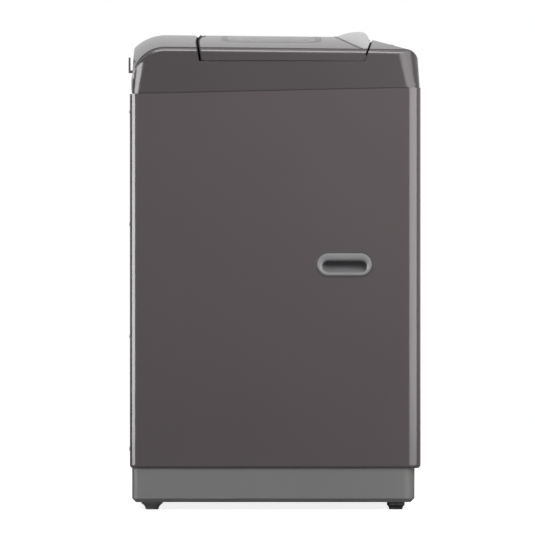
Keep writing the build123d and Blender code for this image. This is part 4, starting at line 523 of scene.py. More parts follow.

# %% Copper turns, with painted shade in the crevices between them
TURNS_PER_METRE = 420.0
WAVES_PER_SCALE = 3.2
WIRE_DARK, WIRE_LIGHT = (0.42, 0.16, 0.065, 1.0), (0.56, 0.24, 0.10, 1.0)
WIRE_CREVICE_SHADE = (0.10, 0.035, 0.015, 1.0)
tree, look, place = start_finish("winding", 0.34, metallic=1.0)
wave_inputs = {"Vector": place, "Scale": TURNS_PER_METRE / WAVES_PER_SCALE, "Distortion": 0.6, "Detail": 1.0}
wave = add_node(tree, "TexWave", wave_inputs)
wave.bands_direction = "Z"
turns = wave.outputs["Fac"]
grained = place_group(tree, grain_group, place, Scale=400.0)
wire = blend_colours(tree, grained["Patch"], WIRE_DARK, WIRE_LIGHT)
feed(tree, look, {
    "Base Color": blend_colours(tree, turns, WIRE_CREVICE_SHADE, wire),
    "Roughness": remap(tree, turns, to_low=0.55, to_high=0.28),
    "Normal": bump_from(tree, turns, strength=0.6, distance=0.0005),
})

# %% Circuit board
BOARD_COLOURS = {
    "Color1": (0.012, 0.060, 0.022, 1.0),
    "Color2": (0.014, 0.070, 0.026, 1.0),
    "Mortar": (0.030, 0.130, 0.050, 1.0),
}
tree, look, place = start_finish("board_green", 0.38)
brick_inputs = {"Vector": place, "Scale": 120.0, "Mortar Size": 0.06, **BOARD_COLOURS}
traces = add_node(tree, "TexBrick", brick_inputs).outputs
grained = place_group(tree, grain_group, place, Scale=900.0)
feed(tree, look, {
    "Base Color": dusted(tree, place, traces["Color"], 0.25),
    "Roughness": remap(tree, grained["Patch"], to_low=0.30, to_high=0.46),
    "Normal": bump_from(tree, traces["Fac"], strength=0.3, distance=0.0002),
})
print("finishes with metals:", len(finishes))

# %% [markdown]
# ## Glass
#
# The lid's window is smoked safety glass and the display sits behind a darker sheet. Both let light
# through, so the drum shows dimly below the lid. Fingers and dried drops leave duller spots, which raise the
# roughness. A black border is printed round the window, to hide the seat that carries it.

# %% Smoked glass
GLASS_GRAIN = 40.0
GLASS_DRIFT = 0.03
GLASS_DEPTH = 0.01


def smoked(slot, colour, roughness, smudge, bending):
    """Tinted glass with handling marks."""
    tree, look, place = start_finish(slot, roughness)
    marks = place_group(tree, smudge_group, place, Amount=smudge)
    grained = place_group(tree, grain_group, place, Scale=GLASS_GRAIN)
    feed(tree, look, {
        "Transmission Weight": 1.0,
        "IOR": bending,
        "Base Color": drifting(tree, grained["Patch"], colour, GLASS_DRIFT),
        "Roughness": maths(tree, "ADD", marks["Smudge"], roughness),
        "Normal": bump_from(tree, grained["Height"], GLASS_DEPTH, GRAIN_HEIGHT),
    })


smoked("lid_glass", (0.13, 0.13, 0.137), 0.22, smudge=0.02, bending=1.18)
smoked("display_glass", (0.10, 0.105, 0.11), 0.04, smudge=0.02, bending=1.5)

# %% Print the window's black border
BORDER_WIDTH = 0.011
BORDER_CORNER = 0.022
BORDER_BLACK = (0.002, 0.002, 0.002, 1.0)
LEVEL_STEP = Vector((1.0, 1.0, 0.0))
window_low, window_high = map(Vector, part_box("lid_window"))
window_middle = (window_low + window_high) / 2
clear_half = (window_high - window_low) / 2 - LEVEL_STEP * (BORDER_WIDTH + BORDER_CORNER)


def beyond(tree, value, middle, half):
    """How far the value lies outside a half width of the middle, and nought inside it."""
    distance = maths(tree, "ABSOLUTE", maths(tree, "SUBTRACT", value, middle))
    return maths(tree, "MAXIMUM", maths(tree, "SUBTRACT", distance, half), 0.0)


tree, look, place = reopened("lid_glass")
axes = add_node(tree, "SeparateXYZ", {0: place}).outputs
across = beyond(tree, axes["X"], window_middle.x, clear_half.x)
along = beyond(tree, axes["Y"], window_middle.y, clear_half.y)
printed = maths(tree, "GREATER_THAN", diagonal(tree, across, along), BORDER_CORNER)
paint_over(tree, look, printed, BORDER_BLACK)
print("all finishes:", len(finishes))

# %% [markdown]
# ## Finish the CAD pieces
#
# Each CAD node carries one material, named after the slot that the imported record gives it. Exchanging that
# one material for the finish of the same name dresses the node and leaves its mesh as it is.

# %% Dress every CAD node
for node, slot in slot_of.items():
    frame["nodes"][node].data.materials[0] = finishes[slot]
print("dressed:", len(slot_of), "nodes")

# %% [markdown]
# ## Hand grips
#
# Each side of the cabinet has a moulded grip: a rounded rim round a slot, and behind it a cup whose floor
# curves up to the back, so that fingers can hook behind the upper lip. A cup like this is a row of stadium
# shaped loops from the back of the shell, round the rim and into the hollow, joined by bridging each loop to
# the next. A thin black ring round the rim is painted shade: it draws the shadow of the recess round the rim
# as a dark line.

# %% Helpers for modelling in edit mode
MERGE_DISTANCE = 1e-6


def leave():
    """Goes back to object mode."""
    bpy.ops.object.mode_set(mode="OBJECT")


def enter(piece):
    """Makes a piece the only selected object and opens it in edit mode."""
    if bpy.context.object and bpy.context.object.mode == "EDIT":
        leave()
    bpy.ops.object.select_all(action="DESELECT")
    piece.select_set(True)
    bpy.context.view_layer.objects.active = piece
    bpy.ops.object.mode_set(mode="EDIT")
    bpy.ops.mesh.select_mode(type="VERT")


def enter_all(piece):
    """Opens a piece in edit mode with all of it selected."""
    enter(piece)
    bpy.ops.mesh.select_all(action="SELECT")


def pick(piece, test):
    """Selects the vertices whose number and place pass the test, in edit mode."""
    leave()
    for polygon in piece.data.polygons:
        polygon.select = False
    for edge in piece.data.edges:
        edge.select = False
    for vertex in piece.data.vertices:
        vertex.select = test(vertex.index, vertex.co)
    bpy.ops.object.mode_set(mode="EDIT")
    bpy.ops.mesh.select_mode(type="VERT")


def close_up(piece, name, body, slot, smooth=30.0):
    """Merges, turns faces outward, shades, names and finishes a piece, and hangs it on its body if it has
    one.
    """
    enter_all(piece)
    bpy.ops.mesh.remove_doubles(threshold=MERGE_DISTANCE)
    bpy.ops.mesh.normals_make_consistent(inside=False)
    leave()
    bpy.ops.object.transform_apply()
    bpy.ops.object.shade_smooth_by_angle(angle=math.radians(smooth))
    piece.name = name
    piece.data.name = name
    piece.data.materials.clear()
    piece.data.materials.append(finishes[slot])
    if body:
        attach(piece, body)
    print(name, "faces", len(piece.data.polygons))
    return piece


# %% Helpers for rows of rings
def add_ring(piece, points, radius, place, turn):
    """Adds a circle to the piece that is being edited, or starts a new piece with it."""
    bpy.ops.mesh.primitive_circle_add(vertices=points, radius=radius, location=place, rotation=turn)
    if piece is None:
        piece = bpy.context.active_object
        bpy.ops.object.transform_apply()
        enter(piece)
    return piece


def bridge_rings(piece, points, rings, closed):
    """Bridges each ring to the next, and then closes the row on itself or caps both of its ends."""
    for ring in range(rings if closed else rings - 1):
        pick(piece, lambda i, co: i // points in (ring, (ring + 1) % rings))
        bpy.ops.mesh.bridge_edge_loops()
    for end in () if closed else (0, rings - 1):
        pick(piece, lambda i, co: i // points == end)
        bpy.ops.mesh.edge_face_add()
    leave()
    return piece


# %% Stadium loops
LOOP_POINTS = 64
MM = 0.001
TINY = 1e-5
QUARTER_ABOUT_Y = (0.0, math.radians(90.0), 0.0)
grip_low, grip_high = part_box("left_grip")
grip_y = (grip_low[1] + grip_high[1]) / 2
grip_z = (grip_low[2] + grip_high[2]) / 2
side_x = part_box("cabinet_wrap")[0][0]


def stadium_tube(rows, closed):
    """Bridges stadium loops, each given by its depth behind the side, width, height and rise, in mm."""
    tube = None
    for index, (depth, width, height, rise) in enumerate(rows):
        place = (side_x + depth * MM, grip_y, grip_z + rise * MM)
        tube = add_ring(tube, LOOP_POINTS, height * MM / 2, place, QUARTER_ABOUT_Y)
        first = index * LOOP_POINTS
        for direction in (-1.0, 1.0):
            pick(tube, lambda i, co: i >= first and (co.y - grip_y) * direction > TINY)
            bpy.ops.transform.translate(value=(0.0, direction * (width - height) * MM / 2, 0.0))
    return bridge_rings(tube, LOOP_POINTS, len(rows), closed)


# %% Helpers that copy
def copied(piece, shift):
    """A copy with its own mesh, moved by a shift."""
    other = piece.copy()
    other.data = piece.data.copy()
    bpy.context.scene.collection.objects.link(other)
    other.location = piece.location + Vector(shift)
    return other


def mirrored(piece):
    """A copy on the other side of the machine."""
    other = copied(piece, (0.0, 0.0, 0.0))
    enter_all(other)
    bpy.ops.transform.resize(value=(-1.0, 1.0, 1.0), center_override=(0.0, 0.0, 0.0))
    leave()
    return other


# %% Model the grips
CUP = [
    (29.8, 86.0, 26.0, 1.0), (28.5, 92.0, 30.5, 0.5), (8.0, 96.6, 33.0, 0.0), (-0.05, 96.8, 33.2, 0.0),
    (-0.1, 101.0, 41.0, 0.0), (-0.9, 101.0, 41.0, 0.0), (-1.5, 100.2, 40.2, 0.0), (-1.85, 98.8, 38.8, 0.0),
    (-2.0, 97.0, 37.0, 0.0), (-1.9, 92.4, 30.9, -0.8), (-1.4, 87.4, 25.7, -2.2), (-0.4, 84.2, 23.0, -3.0),
    (1.2, 82.4, 21.4, -3.3), (3.0, 81.6, 20.4, -3.0), (7.0, 82.0, 20.0, -1.5), (12.0, 82.4, 19.0, 0.6),
    (17.0, 81.0, 16.5, 2.6), (21.5, 77.5, 12.5, 4.9), (25.0, 72.0, 8.4, 7.0), (27.0, 66.0, 5.0, 8.2),
]
GRIP_SMOOTH = 35.0
left_hand_grip = stadium_tube(CUP, closed=False)
close_up(left_hand_grip, "left_hand_grip", "cabinet", "grip_plastic", GRIP_SMOOTH)
right_hand_grip = mirrored(left_hand_grip)
close_up(right_hand_grip, "right_hand_grip", "cabinet", "grip_plastic", GRIP_SMOOTH)
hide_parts("left_grip")
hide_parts("right_grip")

# %% Model the dark rings of painted shade round the grips' rims
SHADE_GASKET = [
    (0.0, 109.0, 48.6, 0.0), (-0.3, 108.6, 48.2, 0.0), (-0.55, 107.4, 47.0, 0.0), (-0.4, 100.6, 40.4, 0.0),
    (0.1, 99.6, 39.4, 0.0),
]
left_shade_gasket = close_up(stadium_tube(SHADE_GASKET, closed=True), "left_grip_shade_gasket", "cabinet", "foot_plastic")
close_up(mirrored(left_shade_gasket), "right_grip_shade_gasket", "cabinet", "foot_plastic")

# %% [markdown]
# ## Lips in the lid's gaps
#
# Seen from the side, the gaps behind and in front of the lid read as black lines. A dark lip on the lid fills
# most of each gap as painted shade, standing in for the shadow deep in the gap. The rear lip follows the
# lid's
# rolled edge, which turns about the hinge: a bar is drawn at the hinge's level, its top is spun round the
# hinge line, and its foot is leaned with the lid. The front lips are bars that lean with the lid's front
# edge, and a thin strip in the top's colour closes most of the joint under each of its sides.

# %% Helpers for bars
def bar_at(place, size, turn=(0.0, 0.0, 0.0)):
    """A bar of one size at one place, as the only selected object."""
    bpy.ops.mesh.primitive_cube_add(size=1.0, location=place, rotation=turn)
    bar = bpy.context.active_object
    bar.scale = size
    bpy.ops.object.transform_apply()
    return bar


def bevel_all(offset, segments):
    """Rounds every edge of the piece that is being edited."""
    bpy.ops.mesh.select_all(action="SELECT")
    bpy.ops.mesh.bevel(offset=offset, segments=segments)


# %% Model the rear lip, a dark bar of painted shade in the gap
LIP_WIDTH = 0.100
LIP_NEAR, LIP_FAR = 0.01305, 0.01640
LIP_FOOT_DROP, LIP_FOOT_LEAN = 0.0365, 0.0056
LIP_SPIN = math.radians(58.0)
LIP_SPIN_STEPS = 10
lip_middle_z = HINGE_Z - LIP_FOOT_DROP / 2
lip_place = (0.0, HINGE_Y + (LIP_NEAR + LIP_FAR) / 2, lip_middle_z)
rear_shade_lip = bar_at(lip_place, (LIP_WIDTH, LIP_FAR - LIP_NEAR, LIP_FOOT_DROP))
enter(rear_shade_lip)
pick(rear_shade_lip, lambda i, co: co.z < lip_middle_z)
bpy.ops.transform.translate(value=(0.0, -LIP_FOOT_LEAN, 0.0))
pick(rear_shade_lip, lambda i, co: co.z > lip_middle_z)
bpy.ops.mesh.spin(steps=LIP_SPIN_STEPS, angle=-LIP_SPIN, center=(0.0, HINGE_Y, HINGE_Z), axis=(1.0, 0.0, 0.0))
close_up(rear_shade_lip, "lid_rear_shade_lip", "lid", "trim_plastic")

# %% Model the front lips: dark bars of painted shade, and corner strips in the top's colour
LID_EDGE_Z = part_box("lid_frame")[0][2]
FRONT_SLANT = math.tan(math.radians(21.8))
FRONT_EDGE_Y = -0.1629
LIP_BEVEL = 0.0005
FRONT_LIP_X, FRONT_LIP_WIDTH, FRONT_LIP_DEPTH = 0.100, 0.050, 0.0036
FRONT_LIP_LOW, FRONT_LIP_HIGH = 0.8325, 0.8690
SIDE_LIP_X, SIDE_LIP_WIDTH = 0.2680, 0.0034
CORNER_LIP_DEPTH = 0.0028
CORNER_LIP_LOW, CORNER_LIP_HIGH = 0.8337, 0.8440
SIDES = ((-1.0, "left"), (1.0, "right"))


def front_lip(x, low, high, width, depth):
    """A bar that leans forward with the lid's front edge and fills most of the gap ahead of it."""
    lip = bar_at((x, FRONT_EDGE_Y - depth / 2, (low + high) / 2), (width, depth, high - low))
    enter(lip)
    for level in (low, high):
        pick(lip, lambda i, co: abs(co.z - level) < TINY)
        bpy.ops.transform.translate(value=(0.0, (LID_EDGE_Z - level) * FRONT_SLANT, 0.0))
    bevel_all(LIP_BEVEL, segments=2)
    return lip


for side, label in SIDES:
    # The dark front lip is painted shade in the gap ahead of the lid; the corner lip is in the top's colour.
    front_shade_lip = front_lip(side * FRONT_LIP_X, FRONT_LIP_LOW, FRONT_LIP_HIGH, FRONT_LIP_WIDTH, FRONT_LIP_DEPTH)
    close_up(front_shade_lip, label + "_lid_front_shade_lip", "lid", "trim_plastic")
    corner = front_lip(side * SIDE_LIP_X, CORNER_LIP_LOW, CORNER_LIP_HIGH, SIDE_LIP_WIDTH, CORNER_LIP_DEPTH)
    close_up(corner, label + "_lid_corner_lip", "lid", "top_plastic")

# %% Model the lips under the lid's sides
SIDE_LIP_REAR_Y = 0.1330
SIDE_LIP_LOW = 0.83365
SIDE_LIP_TUCK = 0.0008
SIDE_LIP_HIGH = LID_EDGE_Z + SIDE_LIP_TUCK
side_lip_y = (SIDE_LIP_REAR_Y + FRONT_EDGE_Y) / 2
side_lip_z = (SIDE_LIP_HIGH + SIDE_LIP_LOW) / 2
side_lip_size = (SIDE_LIP_WIDTH, SIDE_LIP_REAR_Y - FRONT_EDGE_Y, SIDE_LIP_HIGH - SIDE_LIP_LOW)
for side, label in SIDES:
    side_lip = bar_at((side * SIDE_LIP_X, side_lip_y, side_lip_z), side_lip_size)
    enter(side_lip)
    bevel_all(LIP_BEVEL, segments=3)
    close_up(side_lip, label + "_lid_side_lip", "lid", "top_plastic")

# %% [markdown]
# ## Lid handle
#
# The silver handle is a crescent that swells out of the lid's front edge, with a soft crown that runs out to
# nothing at both ends. On a real lid it is one moulding, so it is drawn here as a row of closed sections
# across the machine, each shaped to its place and bridged to the next. The rear line follows a wide arc, the
# front line the lid's edge. A thin black bead along the rear line is painted shade: it draws the shaded rear
# flank of the handle as a dark edge.

# %% Where the handle's rear line lies
HANDLE_END, HANDLE_REAR_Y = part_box("lid_handle")[1][:2]
HANDLE_ARC = 0.6679
HANDLE_SHADOW_GAP = 0.0009
LID_CROWN_Z = 0.8797
LID_CROWN_ARC = 1.352


def lid_line(x):
    """The handle's rear line on the crowned lid, at one distance from the middle."""
    rear_y = HANDLE_REAR_Y - HANDLE_SHADOW_GAP - HANDLE_ARC + math.sqrt(HANDLE_ARC ** 2 - x * x)
    lid_z = LID_CROWN_Z - x * x / (2 * LID_CROWN_ARC)
    return rear_y, lid_z


# %% The handle's section at one place
HANDLE_RISE = 0.0096
HANDLE_RUN_OUT = 0.004
HANDLE_NOSE_Z = 0.8686
HANDLE_SEAT, NOSE_SEAT = 0.0035, 0.0006
NOSE_SHARE = 0.25
CREST_SHARE = 0.74
END_FULLNESS, CREST_FULLNESS, NOSE_FULLNESS = 0.55, 0.8, 2.2
TOP_POINTS = 22
UNDER_POINTS = 8


def handle_section(x):
    """The closed outline at one distance from the middle: over the crown to the nose, and back below."""
    rear_y, lid_z = lid_line(x)
    rise = HANDLE_RISE * (1.0 - (x / (HANDLE_END + HANDLE_RUN_OUT)) ** 2) ** END_FULLNESS
    nose_z = min(HANDLE_NOSE_Z, lid_z + NOSE_SHARE * rise)
    nose_y = FRONT_EDGE_Y - (nose_z - LID_EDGE_Z) * FRONT_SLANT
    outline = []
    for step in range(TOP_POINTS):
        share = step / (TOP_POINTS - 1)
        if share < CREST_SHARE:
            climb = math.sin(math.pi / 2 * share / CREST_SHARE) ** CREST_FULLNESS
            z = lid_z - HANDLE_SHADOW_GAP + (rise + HANDLE_SHADOW_GAP) * climb
        else:
            fall = (share - CREST_SHARE) / (1.0 - CREST_SHARE)
            drop = 1.0 - math.sqrt(max(0.0, 1.0 - fall ** NOSE_FULLNESS))
            z = lid_z + rise - (lid_z + rise - nose_z) * drop
        outline.append((rear_y + (nose_y - rear_y) * share, z))
    front_seat = min(lid_z, nose_z) - NOSE_SEAT
    rear_seat = lid_z - HANDLE_SEAT
    for step in range(UNDER_POINTS):
        share = (step + 0.5) / UNDER_POINTS
        outline.append((nose_y + (rear_y - nose_y) * share, front_seat + (rear_seat - front_seat) * share))
    return outline


# %% A helper that bridges sections across the machine
STATIONS = 41


def across_the_lid(section):
    """A closed piece through the section's outlines, from one end of the handle to the other."""
    points = len(section(0.0))
    piece = None
    for station in range(STATIONS):
        x = HANDLE_END * math.sin(math.pi * (station / (STATIONS - 1) - 0.5))
        place = (x, HANDLE_REAR_Y, LID_CROWN_Z)
        piece = add_ring(piece, points, HANDLE_RISE, place, QUARTER_ABOUT_Y)
        leave()
        for index, (y, z) in enumerate(section(x)):
            piece.data.vertices[station * points + index].co = (x, y, z)
        bpy.ops.object.mode_set(mode="EDIT")
    return bridge_rings(piece, points, STATIONS, closed=False)


# %% Model the handle
HANDLE_SMOOTH = 50.0
pull = close_up(across_the_lid(handle_section), "lid_pull", "lid", "handle_silver", HANDLE_SMOOTH)
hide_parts("lid_handle")

# %% Model the black bead of painted shade behind the handle
BEAD_WIDTH = 0.0030
BEAD_TUCK = 0.0010
BEAD_SUNK = 0.0010
BEAD_PROUD = 0.0006


def shade_bead_section(x):
    """A low black bead of painted shade along the handle's rear line, half sunk in the lid."""
    rear_y, lid_z = lid_line(x)
    top = lid_z + BEAD_PROUD
    foot = lid_z - BEAD_SUNK
    return [
        (rear_y + BEAD_WIDTH, foot),
        (rear_y + BEAD_WIDTH, lid_z),
        (rear_y + BEAD_WIDTH - BEAD_PROUD, top),
        (rear_y - BEAD_TUCK, top),
        (rear_y - BEAD_TUCK, foot),
    ]


close_up(across_the_lid(shade_bead_section), "lid_pull_shade_bead", "lid", "trim_plastic", HANDLE_SMOOTH)

# %% [markdown]
# ## Rear screws
#
# Eight plated screws hold the rear panel. Each has a flange like a washer, a low domed head and a cross
# recess. One head is modelled on a disc by insetting and extruding its outer face, its edges are bevelled,
# and a thin bar cuts the recess twice, the second time after a quarter turn. The other seven are copies in
# the same mesh.

# %% Model one screw head
SCREW_CORNERS = 40
SCREW_RADIUS = 0.0045
SCREW_FLANGE = 0.0005
SCREW_HEAD = 0.0009
FLANGE_WIDTH, DOME_WIDTH = 0.0007, 0.0008
SCREW_WALL = 0.6 * SCREW_HEAD
SCREW_BEVEL = 0.00012
QUARTER_ABOUT_X = (math.radians(90.0), 0.0, 0.0)
screw_low, screw_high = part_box("rear_screws")
first_screw = Vector((screw_low[0] + SCREW_RADIUS, screw_low[1], screw_low[2] + SCREW_RADIUS))
bpy.ops.mesh.primitive_cylinder_add(
    vertices=SCREW_CORNERS,
    radius=SCREW_RADIUS,
    depth=SCREW_FLANGE,
    location=first_screw + Vector((0.0, SCREW_FLANGE / 2, 0.0)),
    rotation=QUARTER_ABOUT_X,
)
screw = bpy.context.active_object
bpy.ops.object.transform_apply()
enter(screw)
pick(screw, lambda i, co: co.y > first_screw.y + SCREW_FLANGE / 2)
bpy.ops.mesh.inset(thickness=FLANGE_WIDTH)
bpy.ops.mesh.extrude_region_move(TRANSFORM_OT_translate={"value": (0.0, SCREW_WALL, 0.0)})
bpy.ops.mesh.inset(thickness=DOME_WIDTH)
bpy.ops.transform.translate(value=(0.0, SCREW_HEAD - SCREW_WALL, 0.0))
bevel_all(SCREW_BEVEL, segments=2)
leave()
print("screw head faces", len(screw.data.polygons))

# %% Cut the cross recess
RECESS_SPAN, RECESS_WIDTH, RECESS_DEPTH = 0.0044, 0.0009, 0.0008
head_top = (first_screw.x, first_screw.y + SCREW_FLANGE + SCREW_HEAD, first_screw.z)
for turn in ((0.0, 0.0, 0.0), QUARTER_ABOUT_Y):
    bar = bar_at(head_top, (RECESS_SPAN, 2 * RECESS_DEPTH, RECESS_WIDTH), turn)
    cut = screw.modifiers.new("recess", "BOOLEAN")
    cut.operation = "DIFFERENCE"
    cut.solver = "EXACT"
    cut.object = bar
    bpy.context.view_layer.objects.active = screw
    bpy.ops.object.modifier_apply(modifier=cut.name)
    bpy.data.objects.remove(bar)
print("with its recess", len(screw.data.polygons))

# %% Copy it to the other places
SCREWS_PER_SIDE = 4


def joined(pieces):
    """Several pieces made into one mesh, which keeps the first one's object."""
    bpy.ops.object.select_all(action="DESELECT")
    for piece in pieces:
        piece.select_set(True)
    bpy.context.view_layer.objects.active = pieces[0]
    bpy.ops.object.join()
    return pieces[0]


screw_pitch = (screw_high[2] - screw_low[2] - 2 * SCREW_RADIUS) / (SCREWS_PER_SIDE - 1)
screw_span = screw_high[0] - screw_low[0] - 2 * SCREW_RADIUS
screw_heads = [screw]
for column in range(2):
    for row in range(SCREWS_PER_SIDE):
        if column + row > 0:
            screw_heads.append(copied(screw, (column * screw_span, 0.0, row * screw_pitch)))
close_up(joined(screw_heads), "rear_screw_heads", "cabinet", "steel")
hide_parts("rear_screws")
keep_off_rear_strip(screw)

# %% [markdown]
# ## Inlet thread
#
# The hose screws onto the water inlet, so the inlet's spigot has a coarse thread. A thread is one small
# ridge carried round and along an axis, which is just what the Screw modifier does to a little ring of
# points. A coil spring is the same thing with a rounder wire, so one helper winds both.

# %% Helpers that wind a helix
HELIX_STEPS = 40


def fill_open_ends(sides):
    """Closes the open ends of the piece that is being edited, where they have no more sides than this."""
    bpy.ops.mesh.select_all(action="DESELECT")
    bpy.ops.mesh.select_mode(type="EDGE")
    bpy.ops.mesh.select_non_manifold()
    bpy.ops.mesh.fill_holes(sides=sides)
    leave()


def wound(place, turn, corners, wire, radius, pitch, turns):
    """Carries a ring of points round the object's own Y axis and along it, and closes both ends."""
    bpy.ops.mesh.primitive_circle_add(vertices=corners, radius=wire, location=place, rotation=turn)
    helix = bpy.context.active_object
    enter_all(helix)
    bpy.ops.transform.translate(value=(radius, 0.0, 0.0))
    leave()
    wind = helix.modifiers.new("wind", "SCREW")
    wind.axis = "Y"
    wind.angle = math.radians(360.0)
    wind.screw_offset = pitch
    wind.iterations = turns
    wind.steps = HELIX_STEPS
    wind.render_steps = HELIX_STEPS
    bpy.ops.object.modifier_apply(modifier=wind.name)
    enter_all(helix)
    bpy.ops.mesh.remove_doubles(threshold=MERGE_DISTANCE)
    fill_open_ends(corners)
    return helix


# %% Wind the thread
THREAD_PITCH = 0.0021
THREAD_TURNS = 10
THREAD_RIDGE = 0.0007
THREAD_CORNERS = 6
THREAD_RADIUS = 0.0132
THREAD_END_GAP = 0.0012
THREAD_SMOOTH = 40.0
inlet_low, inlet_high = map(Vector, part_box("inlet_valve"))
thread_place = (inlet_low + inlet_high) / 2
thread_place.y = inlet_high.y - THREAD_END_GAP - THREAD_PITCH * THREAD_TURNS
thread = wound(
    thread_place, (0.0, 0.0, 0.0), THREAD_CORNERS, THREAD_RIDGE, THREAD_RADIUS, THREAD_PITCH, THREAD_TURNS
)
close_up(thread, "inlet_thread", "cabinet", "white_plastic", THREAD_SMOOTH)

# %% [markdown]
# ## Springs under the tub
#
# The tub hangs on four rods, and a coil spring at the foot of each rod carries it. A spring is pressed
# together when the tub bounces down. Here the four springs are wound as one mesh that hangs on no body, so
# they stay at rest.

# %% Wind the springs
SPRING_RADIUS = 0.0130
SPRING_WIRE = 0.00175
SPRING_TURNS = 6
SPRING_CORNERS = 12
SPRING_SMOOTH = 60.0
spring_low, spring_high = map(Vector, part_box("suspension_springs"))
spring_reach = SPRING_RADIUS + SPRING_WIRE
spring_pitch = (spring_high.z - spring_low.z - 2 * SPRING_WIRE) / SPRING_TURNS
spring_span = spring_high - spring_low - 2 * LEVEL_STEP * spring_reach
spring_place = spring_low + Vector((spring_reach, spring_reach, SPRING_WIRE))
spring = wound(
    spring_place, QUARTER_ABOUT_X, SPRING_CORNERS, SPRING_WIRE, SPRING_RADIUS, spring_pitch, SPRING_TURNS
)
springs = [spring]
for across, along in ((1.0, 0.0), (0.0, 1.0), (1.0, 1.0)):
    springs.append(copied(spring, (across * spring_span.x, along * spring_span.y, 0.0)))
close_up(joined(springs), "tub_springs", None, slot_of["suspension_springs"], SPRING_SMOOTH)
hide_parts("suspension_springs")
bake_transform(spring)
keep_off_rear_strip(spring)

# %% [markdown]
# ## Drain hose
#
# A short ribbed hose joins the valve under the tub to the outlet in the rear panel, and its ribs let it bend
# as the tub bounces. Its wall is a row of rings bridged one to the next, out along the ribs and back along
# the bore.

# %% Lay out the hose's rings
hose_low, hose_high = map(Vector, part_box("drain_hose"))
hose_middle = (hose_low + hose_high) / 2
RIB_HEIGHT, HOSE_WALL = 0.0018, 0.0030
HOSE_CREST = hose_high.x - hose_middle.x
HOSE_VALLEY = HOSE_CREST - RIB_HEIGHT
HOSE_BORE = HOSE_CREST - HOSE_WALL
HOSE_CUFF = 0.008
HOSE_ROUND = 0.0012
HOSE_RIBS = 11
RIB_PROFILE = ((0.0, HOSE_CREST), (0.25, HOSE_VALLEY), (0.5, HOSE_VALLEY), (0.75, HOSE_CREST))
rib_pitch = (hose_high.y - hose_low.y - 2 * HOSE_CUFF) / HOSE_RIBS
hose_rings = [(hose_low.y, HOSE_CREST - HOSE_ROUND), (hose_low.y + HOSE_ROUND, HOSE_CREST)]
for rib in range(HOSE_RIBS):
    rib_start = hose_low.y + HOSE_CUFF + rib * rib_pitch
    for share, radius in RIB_PROFILE:
        hose_rings.append((rib_start + share * rib_pitch, radius))
hose_rings += [(hose_high.y - HOSE_ROUND, HOSE_CREST), (hose_high.y, HOSE_CREST - HOSE_ROUND)]
for rib in range(HOSE_RIBS, -1, -1):
    bore_run = rib / HOSE_RIBS * (hose_high.y - hose_low.y - 2 * HOSE_ROUND)
    hose_rings.append((hose_low.y + HOSE_ROUND + bore_run, HOSE_BORE))
print("hose rings:", len(hose_rings))

# %% Bridge the hose
RING_POINTS = 32
HOSE_SMOOTH = 50.0
hose = None
for y, radius in hose_rings:
    hose = add_ring(hose, RING_POINTS, radius, (hose_middle.x, y, hose_middle.z), QUARTER_ABOUT_X)
bridge_rings(hose, RING_POINTS, len(hose_rings), closed=True)
close_up(hose, "ribbed_drain_hose", None, slot_of["drain_hose"], HOSE_SMOOTH)
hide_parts("drain_hose")
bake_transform(hose)

# %% [markdown]
# ## Marks on the keys
#
# Each key carries a small raised mark: a ring with a bar for power, a triangle for start, and one to four
# dots for the steps between. The marks are drawn flat on the key's slope, extruded a little and bevelled,
# and ride with their keys.

# %% Helpers for the marks
PANEL_RISE, PANEL_RUN = 0.268, 0.9634
PANEL_SLOPE = math.atan2(PANEL_RISE, PANEL_RUN)
KEY_TOP = Vector((0.0, -0.218, 0.86411))
POWER_X, START_X = -0.114, 0.114
STEP_KEY_X = {"water_key": -0.087, "wash_key": -0.060, "rinse_key": 0.060, "spin_key": 0.087}
MARK_HEIGHT = 0.00022
MARK_BEVEL = 0.3 * MARK_HEIGHT
SLOPE_TURN = (PANEL_SLOPE, 0.0, 0.0)


def on_key(x, along=0.0):
    """A place on a key's top, from the middle of the machine and up the slope from the key's middle."""
    rise = Vector((0.0, math.cos(PANEL_SLOPE), math.sin(PANEL_SLOPE)))
    return KEY_TOP + Vector((x, 0.0, 0.0)) + rise * along


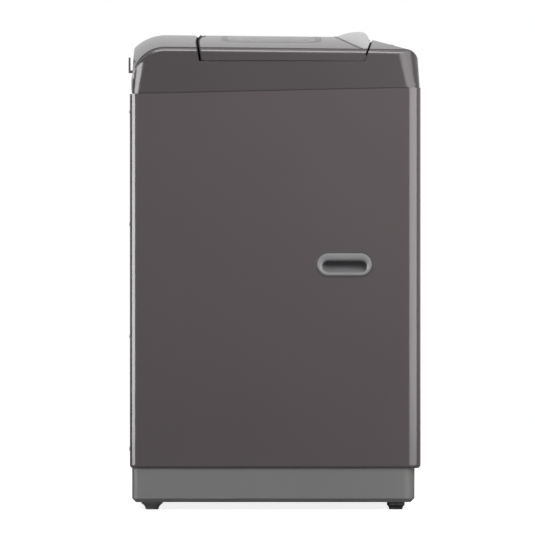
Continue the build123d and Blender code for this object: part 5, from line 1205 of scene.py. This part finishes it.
def raised(corners, radius, place, turn=0.0):
    """A low disc or polygon that stands up from the key's slope."""
    bpy.ops.mesh.primitive_circle_add(vertices=corners, radius=radius, fill_type="NGON")
    mark = bpy.context.active_object
    enter_all(mark)
    bpy.ops.mesh.extrude_region_move(TRANSFORM_OT_translate={"value": (0.0, 0.0, MARK_HEIGHT)})
    bevel_all(MARK_BEVEL, segments=1)
    leave()
    mark.rotation_euler = (0.0, 0.0, math.radians(turn))
    bpy.ops.object.transform_apply()
    mark.rotation_euler = SLOPE_TURN
    mark.location = place
    bpy.ops.object.transform_apply()
    return mark


# %% Dots for the steps
DOT_CORNERS = 20
DOT_RADIUS, DOT_PITCH = 0.0009, 0.0034
for count, (key, x) in enumerate(STEP_KEY_X.items(), start=1):
    start = x - DOT_PITCH * (count - 1) / 2
    dots = [raised(DOT_CORNERS, DOT_RADIUS, on_key(start + DOT_PITCH * step)) for step in range(count)]
    close_up(joined(dots), key + "_mark", key, "panel_gloss")

# %% Ring with a gap for power
RING_RADIUS, RING_WIRE = 0.0021, 0.00034
RING_SEGMENTS, WIRE_SEGMENTS = 40, 8
MOST_END_SIDES = 12
RING_DROP = 0.0004
RING_GAP_HALF = 0.0008
bpy.ops.mesh.primitive_torus_add(
    major_segments=RING_SEGMENTS,
    minor_segments=WIRE_SEGMENTS,
    major_radius=RING_RADIUS,
    minor_radius=RING_WIRE,
    location=on_key(POWER_X, -RING_DROP),
    rotation=SLOPE_TURN,
)
ring = bpy.context.active_object
bpy.ops.object.transform_apply()
enter(ring)
pick(ring, lambda i, co: abs(co.x - POWER_X) < RING_GAP_HALF and co.y > KEY_TOP.y)
bpy.ops.mesh.delete(type="VERT")
fill_open_ends(MOST_END_SIDES)

# %% Bar for power, triangle for start
STEM_RADIUS, STEM_RISE = 0.0016, 0.0013
STEM_SLIMNESS = 0.28
TRIANGLE_RADIUS = 0.0024
stem_place = on_key(POWER_X, STEM_RISE)
stem = raised(corners=4, radius=STEM_RADIUS, place=stem_place, turn=45.0)
enter_all(stem)
bpy.ops.transform.resize(value=(STEM_SLIMNESS, 1.0, 1.0), center_override=stem_place)
leave()
close_up(joined([ring, stem]), "power_key_mark", "power_key", "panel_gloss")
triangle = raised(corners=3, radius=TRIANGLE_RADIUS, place=on_key(START_X), turn=30.0)
close_up(triangle, "start_key_mark", "start_key", "panel_gloss")
